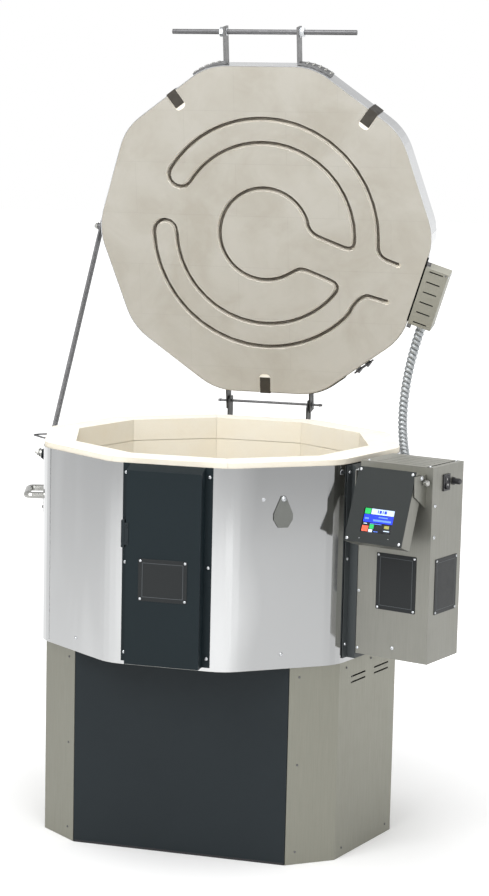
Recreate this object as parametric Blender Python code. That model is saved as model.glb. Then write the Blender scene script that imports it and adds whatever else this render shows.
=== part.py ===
"""Ten-sided top-loading glass kiln on a sheet-metal stand.

The chamber axis is the Z axis and the floor is z = 0. X runs to the right, Y to the back,
so the front face looks along -Y. The lid is shown propped open.
"""
import bpy
import bmesh
from math import sin, cos, tan, acos, atan2, radians, degrees, sqrt, pi
from mathutils import Matrix, Vector

for ob in list(bpy.data.objects):
    bpy.data.objects.remove(ob, do_unlink=True)

# ----------------------------------------------------------------- driving dimensions
IN = 0.0254              # the kiln is laid out in inches, as its bricks are
GAP = 0.014              # running gap between touching pieces, inches
SIDES = 10
STEP = 36.0
T18 = tan(radians(18.0))

INNER_AP = 11.6875       # chamber, half of its width across flats
WALL = 2.5               # thickness of the firebrick
OUTER_AP = INNER_AP + WALL
FLOOR_BOTTOM = 16.08
FLOOR_TOP = 18.5
RIM_Z = 32.0
CORNER_R = 3.4           # rounding of the outer corners
JACKET_IN = OUTER_AP + 0.03
JACKET_OUT = JACKET_IN + 0.04
JACKET_Z = (16.02, 31.6)

STAND_H = 15.88
SHEET = 0.05
STAND_CY = 1.34          # the stand is symmetric about this depth
STAND_HALF = [(8.76, 11.47), (12.14, 8.94), (14.76, 0.0)]   # front edge, corner, side corner

MOUTH_H = 0.12           # slit that opens each element groove to the chamber
MOUTH_D = 0.22
POCKET_D = 0.76          # the wider channel behind the slit, which holds the element
POCKET_DOWN, POCKET_UP = 0.40, 0.14
GROOVES = {"upper": 30.15, "lower": 23.0}

HINGE_Y, HINGE_Z = 15.38, 33.14
LID_OPEN = 80.0          # degrees from closed
LID_Z = RIM_Z + 0.03     # underside of the closed lid
LID_T = 2.25
LID_AP = 14.17
LID_CY = -0.10           # the lid's centre, in front of the chamber's axis when closed
LID_R = 5.0              # rounding of the lid's corners, at the inside of its band
BAND_IN, BAND_OUT = 14.185, 14.235
LEG_X = 3.78             # hinge straps, either side of the middle
ARM_X = 3.2              # handle arms
ROD_Y = -16.90

BRACE_X = -15.20
BRACE_V = -0.2           # pivot on the lid, above the lid's centre line when open
BRACE_B = 1.6            # pivot depth behind the lid's face
ANCHOR_Z = 29.7
BRACE_LEN = 23.07

BOX_N = (15.10, 21.35)   # control box, out from the chamber axis
BOX_T = (-3.2, 1.7)
BOX_Z = (16.85, 31.95)
BOX_WALL = 0.06
HEAD_TILT = 20.0
HEAD_W, HEAD_H, HEAD_D = 4.9, 5.79, 1.4
PIVOT_OFF, PIVOT_Z = 0.75, 31.2

CONDUIT_R = 0.41


# ----------------------------------------------------------------- materials
def material(name, rgb, rough, metal):
    mat = bpy.data.materials.new(name)
    mat.use_nodes = True
    bsdf = mat.node_tree.nodes["Principled BSDF"]
    bsdf.inputs["Base Color"].default_value = (*rgb, 1.0)
    bsdf.inputs["Roughness"].default_value = rough
    bsdf.inputs["Metallic"].default_value = metal
    mat.diffuse_color = (*rgb, 1.0)
    return mat


PALETTE = {
    "brick": ((0.86, 0.80, 0.68), 0.95, 0.0),
    "lid_brick": ((0.60, 0.56, 0.49), 0.95, 0.0),
    "mirror": ((0.80, 0.81, 0.83), 0.12, 1.0),
    "brushed": ((0.52, 0.51, 0.47), 0.38, 1.0),
    "dark": ((0.035, 0.045, 0.05), 0.45, 0.2),
    "steel": ((0.30, 0.30, 0.31), 0.45, 1.0),
    "zinc": ((0.62, 0.64, 0.66), 0.35, 1.0),
    "element": ((0.16, 0.13, 0.11), 0.70, 0.7),
    "plastic": ((0.02, 0.02, 0.022), 0.40, 0.0),
    "screen": ((0.05, 0.08, 0.20), 0.15, 0.0),
    "ceramic": ((0.80, 0.76, 0.68), 0.60, 0.0),
    "board": ((0.10, 0.10, 0.10), 0.60, 0.0),
}


# ----------------------------------------------------------------- shape helpers
def prism(poly, z0, z1):
    """A polygon in X, Y drawn out along Z."""
    n = len(poly)
    verts = [(x, y, z0) for x, y in poly] + [(x, y, z1) for x, y in poly]
    faces = [list(range(n))[::-1], list(range(n, 2 * n))]
    faces += [[i, (i + 1) % n, n + (i + 1) % n, n + i] for i in range(n)]
    return verts, faces


def prism_x(poly_yz, x0, x1):
    """A polygon in Y, Z drawn out along X."""
    verts, faces = prism(poly_yz, x0, x1)
    return [(c, a, b) for a, b, c in verts], faces


def prism_y(poly_xz, y0, y1):
    """A polygon in X, Z drawn out along Y."""
    verts, faces = prism(poly_xz, y0, y1)
    return [(a, c, b) for a, b, c in verts], faces


def block(x0, x1, y0, y1, z0, z1):
    return prism([(x0, y0), (x1, y0), (x1, y1), (x0, y1)], z0, z1)


def ring(outer, inner, z0, z1):
    """The wall between two closed outlines that have the same number of points."""
    n = len(outer)
    verts = []
    for poly, z in ((outer, z0), (outer, z1), (inner, z0), (inner, z1)):
        verts += [(x, y, z) for x, y in poly]
    faces = []
    for i in range(n):
        j = (i + 1) % n
        faces.append([i, j, n + j, n + i])
        faces.append([2 * n + j, 2 * n + i, 3 * n + i, 3 * n + j])
        faces.append([n + i, n + j, 3 * n + j, 3 * n + i])
        faces.append([j, i, 2 * n + i, 2 * n + j])
    return verts, faces


def decagon(apothem, radius=0.0, seg=4):
    """A ten-sided outline with flats at the front and back and, if asked, rounded corners."""
    pts = []
    for k in range(SIDES):
        a = radians(STEP * k)
        if radius <= 0.0:
            r = apothem / cos(radians(18))
            pts.append((r * cos(a), r * sin(a)))
            continue
        c = (apothem - radius) / cos(radians(18))
        for s in range(seg + 1):
            b = a + radians(-18 + 36.0 * s / seg)
            pts.append((c * cos(a) + radius * cos(b), c * sin(a) + radius * sin(b)))
    return pts


def circle(cx, cy, r, n, phase=0.0):
    return [(cx + r * cos(2 * pi * i / n + phase), cy + r * sin(2 * pi * i / n + phase)) for i in range(n)]


def offset_path(path, d):
    """An open path moved sideways by d, mitred at its corners."""
    out = []
    for i, p in enumerate(path):
        a = Vector(path[max(i - 1, 0)])
        b = Vector(p)
        c = Vector(path[min(i + 1, len(path) - 1)])
        d1 = (b - a).normalized() if i > 0 else (c - b).normalized()
        d2 = (c - b).normalized() if i < len(path) - 1 else d1
        n1 = Vector((-d1.y, d1.x))
        n2 = Vector((-d2.y, d2.x))
        m = (n1 + n2).normalized()
        out.append(tuple(b + m * (d / max(m.dot(n1), 0.2))))
    return out


def strip(path, thickness):
    """The closed outline of a bent sheet whose middle follows the path."""
    return offset_path(path, thickness / 2) + offset_path(path, -thickness / 2)[::-1]


def lathe_x(profile, sides, phase=0.0):
    """Turns (x, radius) points about the X axis. Both ends are closed."""
    verts, faces = [], []
    for x, r in profile:
        verts += [(x, r * cos(2 * pi * i / sides + phase), r * sin(2 * pi * i / sides + phase)) for i in range(sides)]
    for k in range(len(profile) - 1):
        for i in range(sides):
            j = (i + 1) % sides
            faces.append([k * sides + i, k * sides + j, (k + 1) * sides + j, (k + 1) * sides + i])
    faces.append(list(range(sides))[::-1])
    last = (len(profile) - 1) * sides
    faces.append(list(range(last, last + sides)))
    return verts, faces


def tube(points, r, sides, closed=False):
    """A round tube along 3-D points."""
    pts = [Vector(p) for p in points]
    n = len(pts)
    tangents = []
    for i in range(n):
        a = pts[(i - 1) % n] if closed or i > 0 else pts[i]
        b = pts[(i + 1) % n] if closed or i < n - 1 else pts[i]
        tangents.append((b - a).normalized())
    up = Vector((0, 0, 1)) if abs(tangents[0].z) < 0.9 else Vector((1, 0, 0))
    normal = (up - tangents[0] * up.dot(tangents[0])).normalized()
    verts, faces = [], []
    for i in range(n):
        normal = (normal - tangents[i] * normal.dot(tangents[i])).normalized()
        side = tangents[i].cross(normal)
        for k in range(sides):
            a = 2 * pi * k / sides
            verts.append(tuple(pts[i] + (normal * cos(a) + side * sin(a)) * r))
    for i in range(n if closed else n - 1):
        for k in range(sides):
            a, b = i * sides + k, i * sides + (k + 1) % sides
            c, d = ((i + 1) % n) * sides + (k + 1) % sides, ((i + 1) % n) * sides + k
            faces.append([a, b, c, d])
    if not closed:
        faces.append(list(range(sides))[::-1])
        faces.append(list(range((n - 1) * sides, n * sides)))
    return verts, faces


def merge(*shapes):
    verts, faces = [], []
    for v, f in shapes:
        k = len(verts)
        verts += v
        faces += [[i + k for i in face] for face in f]
    return verts, faces


def make(name, shape, mat, parent=None, loc=(0, 0, 0), rot=(0, 0, 0), smooth=False, cutter=False):
    """One object from inches. loc is in inches and rot in degrees."""
    verts, faces = shape
    mesh = bpy.data.meshes.new(name)
    mesh.from_pydata([(x * IN, y * IN, z * IN) for x, y, z in verts], [], faces)
    bm = bmesh.new()
    bm.from_mesh(mesh)
    bmesh.ops.recalc_face_normals(bm, faces=bm.faces)
    bm.to_mesh(mesh)
    bm.free()
    ob = bpy.data.objects.new(name, mesh)
    bpy.context.scene.collection.objects.link(ob)
    ob.location = Vector(loc) * IN
    ob.rotation_euler = [radians(a) for a in rot]
    if parent is not None:
        ob.parent = parent
    if cutter:
        ob.hide_render = True
        ob.display_type = "WIRE"
    else:
        rgb, rough, metal = PALETTE[mat]
        mesh.materials.append(material(name, rgb, rough, metal))
        if smooth:
            mesh.shade_smooth()
            mesh.set_sharp_from_angle(angle=radians(35))
    return ob


def cut(ob, tool, operation="DIFFERENCE"):
    mod = ob.modifiers.new(operation.lower() + "_" + tool.name, "BOOLEAN")
    mod.operation = operation
    mod.solver = "EXACT"
    mod.object = tool
    return mod


def empty(name, loc, rot=(0, 0, 0), parent=None):
    ob = bpy.data.objects.new(name, None)
    bpy.context.scene.collection.objects.link(ob)
    ob.location = Vector(loc) * IN
    ob.rotation_euler = [radians(a) for a in rot]
    ob.empty_display_size = 0.05
    if parent is not None:
        ob.parent = parent
    return ob


# ----------------------------------------------------------------- stand
half = [(x, STAND_CY - y) for x, y in STAND_HALF]
right_path = [half[0], half[1], half[2], (STAND_HALF[1][0], STAND_CY + STAND_HALF[1][1]),
              (STAND_HALF[0][0], STAND_CY + STAND_HALF[0][1])]
outline = right_path + [(-x, y) for x, y in right_path[::-1]]


def inset(poly, d):
    """A closed outline moved inwards by d."""
    n = len(poly)
    out = []
    for i in range(n):
        a, b, c = Vector(poly[i - 1]), Vector(poly[i]), Vector(poly[(i + 1) % n])
        d1, d2 = (b - a).normalized(), (c - b).normalized()
        n1, n2 = Vector((-d1.y, d1.x)), Vector((-d2.y, d2.x))
        m = (n1 + n2).normalized()
        out.append(tuple(b + m * (d / m.dot(n1))))
    return out


pan = make("stand_base_pan", prism(inset(outline, 0.09), 0.0, 0.9), "brushed")
cut(pan, make("pan_hollow", prism(inset(outline, 0.15), 0.08, 1.2), None, cutter=True))
make("stand_top_deck", prism(inset(outline, 0.0), STAND_H + GAP, STAND_H + GAP + 0.07), "brushed")

front_y, back_y = half[0][1], STAND_CY + STAND_HALF[0][1]
xe = STAND_HALF[0][0]
# front and back sheets, each with a flange turned in under the deck
for name, y, s, mat in (("stand_front_panel", front_y, 1, "dark"), ("stand_back_panel", back_y, -1, "brushed")):
    path = [(y + s * SHEET / 2, 0.0), (y + s * SHEET / 2, STAND_H - SHEET / 2), (y + s * 0.75, STAND_H - SHEET / 2)]
    make(name, prism_x(strip(path, SHEET), -xe + 0.03, xe - 0.03), mat)

side_mid = offset_path(right_path, SHEET / 2)
side_mid[0] = (side_mid[0][0] + 0.02, side_mid[0][1] + 0.015)
side_mid[-1] = (side_mid[-1][0] + 0.02, side_mid[-1][1] - 0.015)
right = make("stand_right_panel", prism(strip(side_mid, SHEET), 0.0, STAND_H), "brushed", smooth=False)
left = make("stand_left_panel", prism(strip([(-x, y) for x, y in side_mid], SHEET), 0.0, STAND_H), "brushed")

# two pairs of cooling slots near the top of each side sheet
a, b = Vector(half[1]), Vector(half[2])
along = (b - a).normalized()
slot_shapes = []
for centre in (0.33, 0.74):
    for dz in (0.0, -0.47):
        for sgn in (1, -1):
            c = a.lerp(b, centre)
            p, q = c - along * 1.18, c + along * 1.18
            nrm = Vector((along.y, -along.x)) * 0.3
            poly = [p - nrm, q - nrm, q + nrm, p + nrm]
            if sgn < 0:
                poly = [Vector((-v.x, v.y)) for v in poly][::-1]
            zc = 14.42 + dz
            slot_shapes.append((sgn, prism([tuple(v) for v in poly], zc - 0.065, zc + 0.065)))
cut(right, make("slots_right", merge(*[s for g, s in slot_shapes if g > 0]), None, cutter=True))
cut(left, make("slots_left", merge(*[s for g, s in slot_shapes if g < 0]), None, cutter=True))

# ----------------------------------------------------------------- chamber
make("chamber_bottom_pan", prism(decagon(OUTER_AP - 0.01, CORNER_R), 15.99, 16.06), "steel")
make("chamber_floor_brick", prism(decagon(OUTER_AP, CORNER_R, 3), FLOOR_BOTTOM, FLOOR_TOP), "brick")

groove_tools = []
for key, z in GROOVES.items():
    groove_tools.append(make("slit_" + key, ring(decagon(INNER_AP + MOUTH_D), decagon(INNER_AP - 0.6),
                                                 z - MOUTH_H / 2, z + MOUTH_H / 2), None, cutter=True))
    groove_tools.append(make("groove_" + key, ring(decagon(INNER_AP + POCKET_D), decagon(INNER_AP + MOUTH_D - 0.05),
                                                   z - POCKET_DOWN, z + POCKET_UP), None, cutter=True))

PEEP_T, PEEP_Z, PEEP_PIVOT_Z = -0.1, 27.5, 29.2
peep_tool = make("peephole_bore", lathe_x([(10.5, 0.5), (15.0, 0.5)], 16), None, loc=(0, 0, 0), cutter=True)
peep_tool.matrix_world = (Matrix.Rotation(radians(306), 4, "Z") @ Matrix.Translation(Vector((0, PEEP_T, PEEP_Z)) * IN))
tc_tool = make("thermocouple_bore", lathe_x([(10.5, 0.22), (15.0, 0.22)], 12), None, cutter=True)
tc_tool.matrix_world = (Matrix.Rotation(radians(342), 4, "Z") @ Matrix.Translation(Vector((0, 2.4, 26.6)) * IN))

side_gap = 0.008
rb = CORNER_R - 0.03
brick_plan = []
for s in (-1, 1):
    pts = [(INNER_AP, s * (INNER_AP * T18 - side_gap))]
    for b in (18, 12, 6, 0):
        pts.append((OUTER_AP - rb + rb * cos(radians(b)), s * ((OUTER_AP - rb) * T18 + rb * sin(radians(b)) - side_gap)))
    brick_plan += pts if s < 0 else pts[::-1]
FLATS = [270, 306, 342, 18, 54, 90, 126, 162, 198, 234]
for k, ang in enumerate(FLATS):
    brick = make("wall_brick_%02d" % (k + 1), prism(brick_plan, FLOOR_TOP + GAP, RIM_Z), "brick", rot=(0, 0, ang))
    for tool in groove_tools:
        cut(brick, tool)
    if ang == 306:
        cut(brick, peep_tool)
    if ang == 342:
        cut(brick, tc_tool)

for key, z in GROOVES.items():
    r = INNER_AP + MOUTH_D + 0.25
    pts = []
    for k in range(SIDES):
        a0 = Vector(decagon(r)[k])
        b0 = Vector(decagon(r)[(k + 1) % SIDES])
        pts += [tuple(a0.lerp(b0, 0.06)) + (z - 0.19,), tuple(a0.lerp(b0, 0.94)) + (z - 0.19,)]
    make("chamber_element_" + key, tube(pts, 0.19, 6, closed=True), "element", smooth=True)

jacket = make("chamber_jacket", ring(decagon(JACKET_OUT, CORNER_R + 0.04), decagon(JACKET_IN, CORNER_R), *JACKET_Z), "mirror", smooth=True)
cut(jacket, peep_tool)
cut(jacket, tc_tool)


def hat_cover(name, ang, half_main, half_flange, out, z0, z1, drop):
    """A folded cover: raised box with a sloping top and a screw flange down each side."""
    n0 = JACKET_OUT + GAP
    n1 = n0 + SHEET
    body = make(name, prism_y([(n0, z0), (out, z0), (out, z1 - drop), (n0 + 0.05, z1), (n0, z1)], -half_main, half_main), "dark", rot=(0, 0, ang))
    flange = make(name + "_flange", block(n0, n1, -half_flange, half_flange, z0, z1), None, rot=(0, 0, ang), cutter=True)
    hollow = make(name + "_hollow", prism_y([(n0 - 0.5, z0 + SHEET), (out - SHEET, z0 + SHEET), (out - SHEET, z1 - drop - 0.05),
                                             (n0 - 0.02, z1 - 0.07), (n0 - 0.5, z1 - 0.07)], -half_main + SHEET, half_main - SHEET), None, rot=(0, 0, ang), cutter=True)
    cut(body, flange, "UNION")
    cut(body, hollow)
    return body


COVER_N = 15.3
BACK_N = 15.05
hat_cover("element_cover_front", 270, 2.95, 3.54, COVER_N, 16.3, 31.62, 0.42)
hat_cover("control_backplate", 342, 3.2, 3.85, BACK_N, 16.4, 31.5, 0.35)

make("thermocouple", lathe_x([(10.9, 0.16), (14.32, 0.16), (14.34, 0.42), (14.85, 0.42)], 10), "ceramic", loc=(0, 0, 0), smooth=True)
tc = bpy.data.objects["thermocouple"]
tc.matrix_world = tc_tool.matrix_world.copy()

# peephole cover: an eight-cornered drop-shaped plate that hangs from its pivot
drop = [(0.17, 0.2), (0.76, -1.15), (0.76, -1.6), (0.38, -2.2)]
drop = [(-x, z) for x, z in drop] + drop[::-1]
peep_axis = empty("peephole_axis", (0, 0, 0))
peep_axis.matrix_world = Matrix.Rotation(radians(306), 4, "Z") @ Matrix.Translation(Vector((14.3, PEEP_T, PEEP_PIVOT_Z)) * IN)
cover = make("peephole_cover", prism_x(drop, 0.0, 0.1), "steel", parent=peep_axis)
cut(cover, make("peephole_pivot_bore", lathe_x([(-0.3, 0.11), (0.5, 0.11)], 10), None, parent=peep_axis, cutter=True))

# lifting handle on the left
hz = 26.95
handle = make("side_handle", block(JACKET_OUT + GAP, JACKET_OUT + GAP + 0.08, -2.35, 2.35, hz - 1.0, hz + 0.95), "zinc", rot=(0, 0, 198))
path = []
for s in (-1, 1):
    corner = []
    for k in range(5):
        b = radians(90 * k / 4)
        corner.append((15.25 + 0.45 * sin(b), s * (1.45 + 0.45 * cos(b)), hz + 0.3))
    leg = [(14.33, s * 1.9, hz + 0.3)] + corner
    path += leg if s < 0 else leg[::-1]
cut(handle, make("handle_loop", tube(path, 0.27, 8), None, rot=(0, 0, 198), cutter=True), "UNION")

# ----------------------------------------------------------------- hinge on the back of the chamber
plate = [(JACKET_OUT + GAP, 26.5), (14.9, 26.5), (15.85, 31.5), (15.85, 33.55), (14.9, 33.55), (14.46, 32.9), (14.46, 31.7), (JACKET_OUT + GAP, 31.4)]
for side, s in (("left", -1), ("right", 1)):
    x0, x1 = (LEG_X - 0.26, LEG_X - 0.14) if s > 0 else (0.14 - LEG_X, 0.26 - LEG_X)
    f0, f1 = (2.5, x0 + 0.06) if s > 0 else (x1 - 0.06, -2.5)
    br = make("hinge_bracket_" + side, prism_x(plate, x0, x1), "steel")
    cut(br, make("hinge_foot_" + side, block(f0, f1, JACKET_OUT + GAP, JACKET_OUT + GAP + 0.1, 26.5, 31.3), None, cutter=True), "UNION")
    cut(br, make("hinge_eye_" + side, lathe_x([(-0.5, 0.15), (0.5, 0.15)], 12), None, loc=((x0 + x1) / 2, HINGE_Y, HINGE_Z), cutter=True))
make("hinge_rod", lathe_x([(-4.75, 0.11), (4.75, 0.11)], 8), "zinc", loc=(0, HINGE_Y, HINGE_Z), smooth=True)

# ----------------------------------------------------------------- lid, drawn closed and swung open about its hinge
lid_axis = empty("lid_axis", (0, HINGE_Y, HINGE_Z), (-LID_OPEN, 0, 0))
LID0 = (0, LID_CY - HINGE_Y, -HINGE_Z)


def lid_part(name, shape, mat, ang=0.0, **kw):
    return make(name, shape, mat, parent=lid_axis, loc=LID0, rot=(0, 0, ang), **kw)


def arc(r, a0, a1, step=9.0):
    n = max(2, int(abs(a1 - a0) / step + 0.5))
    return [(r * cos(radians(a0 + (a1 - a0) * i / n)), r * sin(radians(a0 + (a1 - a0) * i / n))) for i in range(n + 1)]


def turn(r, a, rad, direction, n=6):
    """The half circle that joins two runs of the element, centred at polar (r, a)."""
    cx, cy = r * cos(radians(a)), r * sin(radians(a))
    start = a if direction > 0 else a + 180
    return [(cx + rad * cos(radians(start + 180 * i / n)), cy + rad * sin(radians(start + 180 * i / n))) for i in range(1, n)]


def bend(p, q, r, n=4):
    return [((1 - t) ** 2 * p[0] + 2 * t * (1 - t) * q[0] + t * t * r[0], (1 - t) ** 2 * p[1] + 2 * t * (1 - t) * q[1] + t * t * r[1])
            for t in [i / n for i in range(n + 1)]]


R1, R2, R3 = 9.95, 7.9, 4.0
RM = (R1 + R2) / 2
RU = (R1 - R2) / 2


def element_route():
    """The lid element's serpentine, seen from below with the handle side up."""
    path = [(11.7, -2.25)]
    path += bend((10.75, -1.9), (9.95, -1.6), (9.93, -0.75))
    path += arc(R1, -2, 146)
    path += turn(RM, 146, RU, 1)
    path += arc(R2, 146, -1)
    path += bend((7.86, -0.45), (7.8, -1.2), (6.95, -0.9))
    path += bend((4.85, -0.1), (4.05, 0.2), (3.8, 1.0))
    path += arc(R3, 18, 302)
    path += bend((2.75, -3.05), (3.2, -2.85), (3.75, -3.05))
    path += bend((5.7, -3.8), (6.75, -4.2), (6.1, -5.0))
    path += arc(R2, -41, -180)
    path += turn(RM, 180, RU, -1)
    path += arc(R1, -180, -46)
    path += bend((7.35, -6.65), (8.05, -5.2), (9.0, -5.05))
    path += [(10.7, -5.5)]
    out = [path[0]]
    for p in path[1:]:
        if (p[0] - out[-1][0]) ** 2 + (p[1] - out[-1][1]) ** 2 > 0.2 ** 2:
            out.append(p)
    return [(x + 0.1, y - 0.15) for x, y in out]


route = [(x, -v) for x, v in element_route()]          # closed lid: the handle side is at -Y
lid_brick = lid_part("lid_brick", prism(decagon(LID_AP, LID_R - 0.015, 5), LID_Z, LID_Z + LID_T), "lid_brick")
cut(lid_brick, lid_part("lid_groove", prism(strip(route, 0.42), LID_Z - 0.2, LID_Z + 0.48), None, cutter=True))
for k, (x, y) in enumerate((route[0], route[-1])):
    cut(lid_brick, lid_part("lid_groove_end_%d" % (k + 1), prism(circle(x, y, 0.25, 12), LID_Z - 0.2, LID_Z + 0.48), None, cutter=True))
lid_part("lid_element", tube([(x, y, LID_Z + 0.28) for x, y in route], 0.14, 5), "element", smooth=True)
lid_part("lid_band", ring(decagon(BAND_OUT, LID_R + 0.05, 5), decagon(BAND_IN, LID_R, 5), LID_Z, LID_Z + LID_T), "mirror", smooth=True)

CLIPS = {"left": (234, 0.63), "right": (306, 1.67), "rear": (90, 0.12)}
for side, (ang, off) in CLIPS.items():
    tip = [(14.6, -0.52), (14.6, 0.52), (12.85, 0.52), (12.65, 0.38), (12.58, 0.18), (12.58, -0.18), (12.65, -0.38), (12.85, -0.52)]
    pocket = lid_part("clip_pocket_" + side, prism([(x, y + off) for x, y in tip], LID_Z - 0.2, LID_Z + 0.1), None, ang=ang, cutter=True)
    cut(lid_brick, pocket)
    cut(bpy.data.objects["lid_band"], pocket)
    prof = strip([(12.9, LID_Z + 0.05), (14.285, LID_Z + 0.05), (14.285, LID_Z + LID_T + 0.05), (13.1, LID_Z + LID_T + 0.05)], 0.06)
    lid_part("lid_clip_" + side, prism_y(prof, off - 0.46, off + 0.46), "steel", ang=ang)

# hinge straps at the back and handle arms at the front: flat bars bent round the corners of the band
def corner_bar(leg_x, leg_y, tail, t):
    """Middle line of a bar of thickness t that stands off the lid at leg_x, then follows the band's corner and flat."""
    r = LID_R + 0.05 + GAP + t / 2
    cy = BAND_OUT - LID_R - 0.05
    cx = cy * T18
    a0 = degrees(acos((leg_x - cx) / r))
    pts = [(leg_x, leg_y)]
    for i in range(7):
        b = radians(a0 + (54.0 - a0) * i / 6)
        pts.append((cx + r * cos(b), cy + r * sin(b)))
    if tail > 0:
        pts.append((pts[-1][0] + cos(radians(-36)) * tail, pts[-1][1] + sin(radians(-36)) * tail))
    return pts


rod_z = LID_Z + 1.2
for side, s in (("left", -1), ("right", 1)):
    p = corner_bar(LEG_X, HINGE_Y - LID_CY + 0.55, 1.2, 0.12)
    strap = lid_part("hinge_strap_" + side, prism(strip([(s * x, y) for x, y in p], 0.12), LID_Z + 0.42, LID_Z + 1.72), "steel")
    cut(strap, lid_part("strap_eye_" + side, lathe_x([(s * LEG_X - 0.4, 0.15), (s * LEG_X + 0.4, 0.15)], 12), None, cutter=True))
    bpy.data.objects["strap_eye_" + side].location = (0, 0, 0)
    q = corner_bar(ARM_X, -ROD_Y + 0.47, 0.0, 0.19)
    arm = lid_part("handle_arm_" + side, prism(strip([(s * x, -y) for x, y in q], 0.19), LID_Z + 0.65, LID_Z + 1.75), "steel")
    eye = lid_part("arm_eye_" + side, lathe_x([(s * ARM_X - 0.4, 0.245), (s * ARM_X + 0.4, 0.245)], 12), None, cutter=True)
    eye.location = (Vector(LID0) + Vector((0, ROD_Y, rod_z))) * IN
    cut(arm, eye)
rod = lid_part("handle_rod", lathe_x([(-7.86, 0.215), (8.14, 0.215)], 10), "steel", smooth=True)
rod.location = (Vector(LID0) + Vector((0, ROD_Y, rod_z))) * IN

# vented terminal box on the lid's edge
tb = lid_part("lid_terminal_box", block(14.27, 16.3, -2.02, 3.15, LID_Z, LID_Z + 1.95), "brushed", ang=18)
cut(tb, lid_part("terminal_hollow", block(14.33, 16.24, -1.96, 3.09, LID_Z + 0.06, LID_Z + 1.89), None, ang=18, cutter=True))
vents = [block(14.67, 15.87, -1.76 + i * 0.92 - 0.055, -1.76 + i * 0.92 + 0.055, LID_Z - 0.2, LID_Z + 0.3) for i in range(6)]
cut(tb, lid_part("terminal_vents", merge(*vents), None, ang=18, cutter=True))

# ----------------------------------------------------------------- brace between lid and chamber
bolt_y, bolt_z = -BRACE_V, LID_Z + BRACE_B              # closed position of the pivot on the lid
lid_turn = Matrix.Rotation(radians(-LID_OPEN), 3, "X")
pivot = lid_turn @ Vector((0, bolt_y + LID_CY - HINGE_Y, bolt_z - HINGE_Z)) + Vector((BRACE_X, HINGE_Y, HINGE_Z))
reach = sqrt((pivot.y - HINGE_Y) ** 2 + (pivot.z - HINGE_Z) ** 2)
anchor = Vector((BRACE_X, HINGE_Y - sqrt(reach ** 2 - (HINGE_Z - ANCHOR_Z) ** 2), ANCHOR_Z))
lean = degrees(atan2(anchor.y - pivot.y, pivot.z - anchor.z))
brace_axis = empty("brace_axis", (BRACE_X, bolt_y + LID_CY - HINGE_Y, bolt_z - HINGE_Z), (lean + LID_OPEN, 0, 0), parent=lid_axis)
bar = []
for s in range(9):
    b = pi * s / 8
    bar.append((0.4 * cos(b), 0.55 + 0.4 * sin(b)))
for s in range(9):
    b = pi + pi * s / 8
    bar.append((0.4 * cos(b), -BRACE_LEN + 0.4 * sin(b)))
brace = make("lid_brace", prism_x(bar, -0.07, 0.07), "steel", parent=brace_axis)
slot = []
for s in range(7):
    b = pi * s / 6
    slot.append((0.155 * cos(b), -3.15 + 0.155 * sin(b)))
for s in range(7):
    b = pi + pi * s / 6
    slot.append((0.155 * cos(b), -22.54 + 0.155 * sin(b)))
cut(brace, make("brace_slot", prism_x(slot, -0.4, 0.4), None, parent=brace_axis, cutter=True))
cut(brace, make("brace_eye", lathe_x([(-0.4, 0.17), (0.4, 0.17)], 12), None, parent=brace_axis, cutter=True))

lb = lid_part("lid_brace_bolt", lathe_x([(-14.75, 0.24), (-15.09, 0.24), (-15.10, 0.125), (-15.30, 0.125), (-15.31, 0.27), (-15.50, 0.27), (-15.51, 0.1), (-15.85, 0.1)], 10), "steel")
lb.location = (Vector(LID0) + Vector((0, bolt_y, bolt_z))) * IN
# its plate follows the rounded corner of the band
pr = LID_R + 0.05 + GAP + 0.05
pc = (BAND_OUT - LID_R - 0.05) / cos(radians(18))
plate_line = [(-(pc + pr * cos(b)), pr * sin(b)) for b in [radians(-11.5 + 29.3 * i / 6) for i in range(7)]]
plate_tool = lid_part("lid_brace_plate", prism(strip(plate_line, 0.1), bolt_z - 0.6, bolt_z + 0.6), None, cutter=True)
cut(lb, plate_tool, "UNION")

# the anchor bracket: a base on the chamber's corner, a web behind the brace and a cheek outside it
ay, az = anchor.y, ANCHOR_Z
ab = make("brace_anchor_bracket", block(-14.93, -14.835, ay - 1.0, ay + 0.85, az - 0.8, az + 0.6), "dark")
cut(ab, make("anchor_web", block(-15.70, -14.86, ay + 0.74, ay + 0.85, az - 0.8, az + 0.1), None, cutter=True), "UNION")
cut(ab, make("anchor_cheek", prism_x([(ay + 0.85, az - 0.95), (ay + 0.85, az + 0.35), (ay - 0.15, az + 0.3), (ay - 0.5, az - 0.35)], -15.70, -15.60), None, cutter=True), "UNION")
cut(ab, make("anchor_eye", lathe_x([(-15.9, 0.14), (-15.4, 0.14)], 12), None, loc=(0, ay, az), cutter=True))
make("brace_anchor_bolt", lathe_x([(-14.944, 0.24), (-15.06, 0.24), (-15.07, 0.125), (-15.715, 0.125), (-15.72, 0.30), (-15.92, 0.30), (-15.93, 0.11), (-16.4, 0.11)], 10),
     "zinc", loc=(0, anchor.y, anchor.z), smooth=True)

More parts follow.
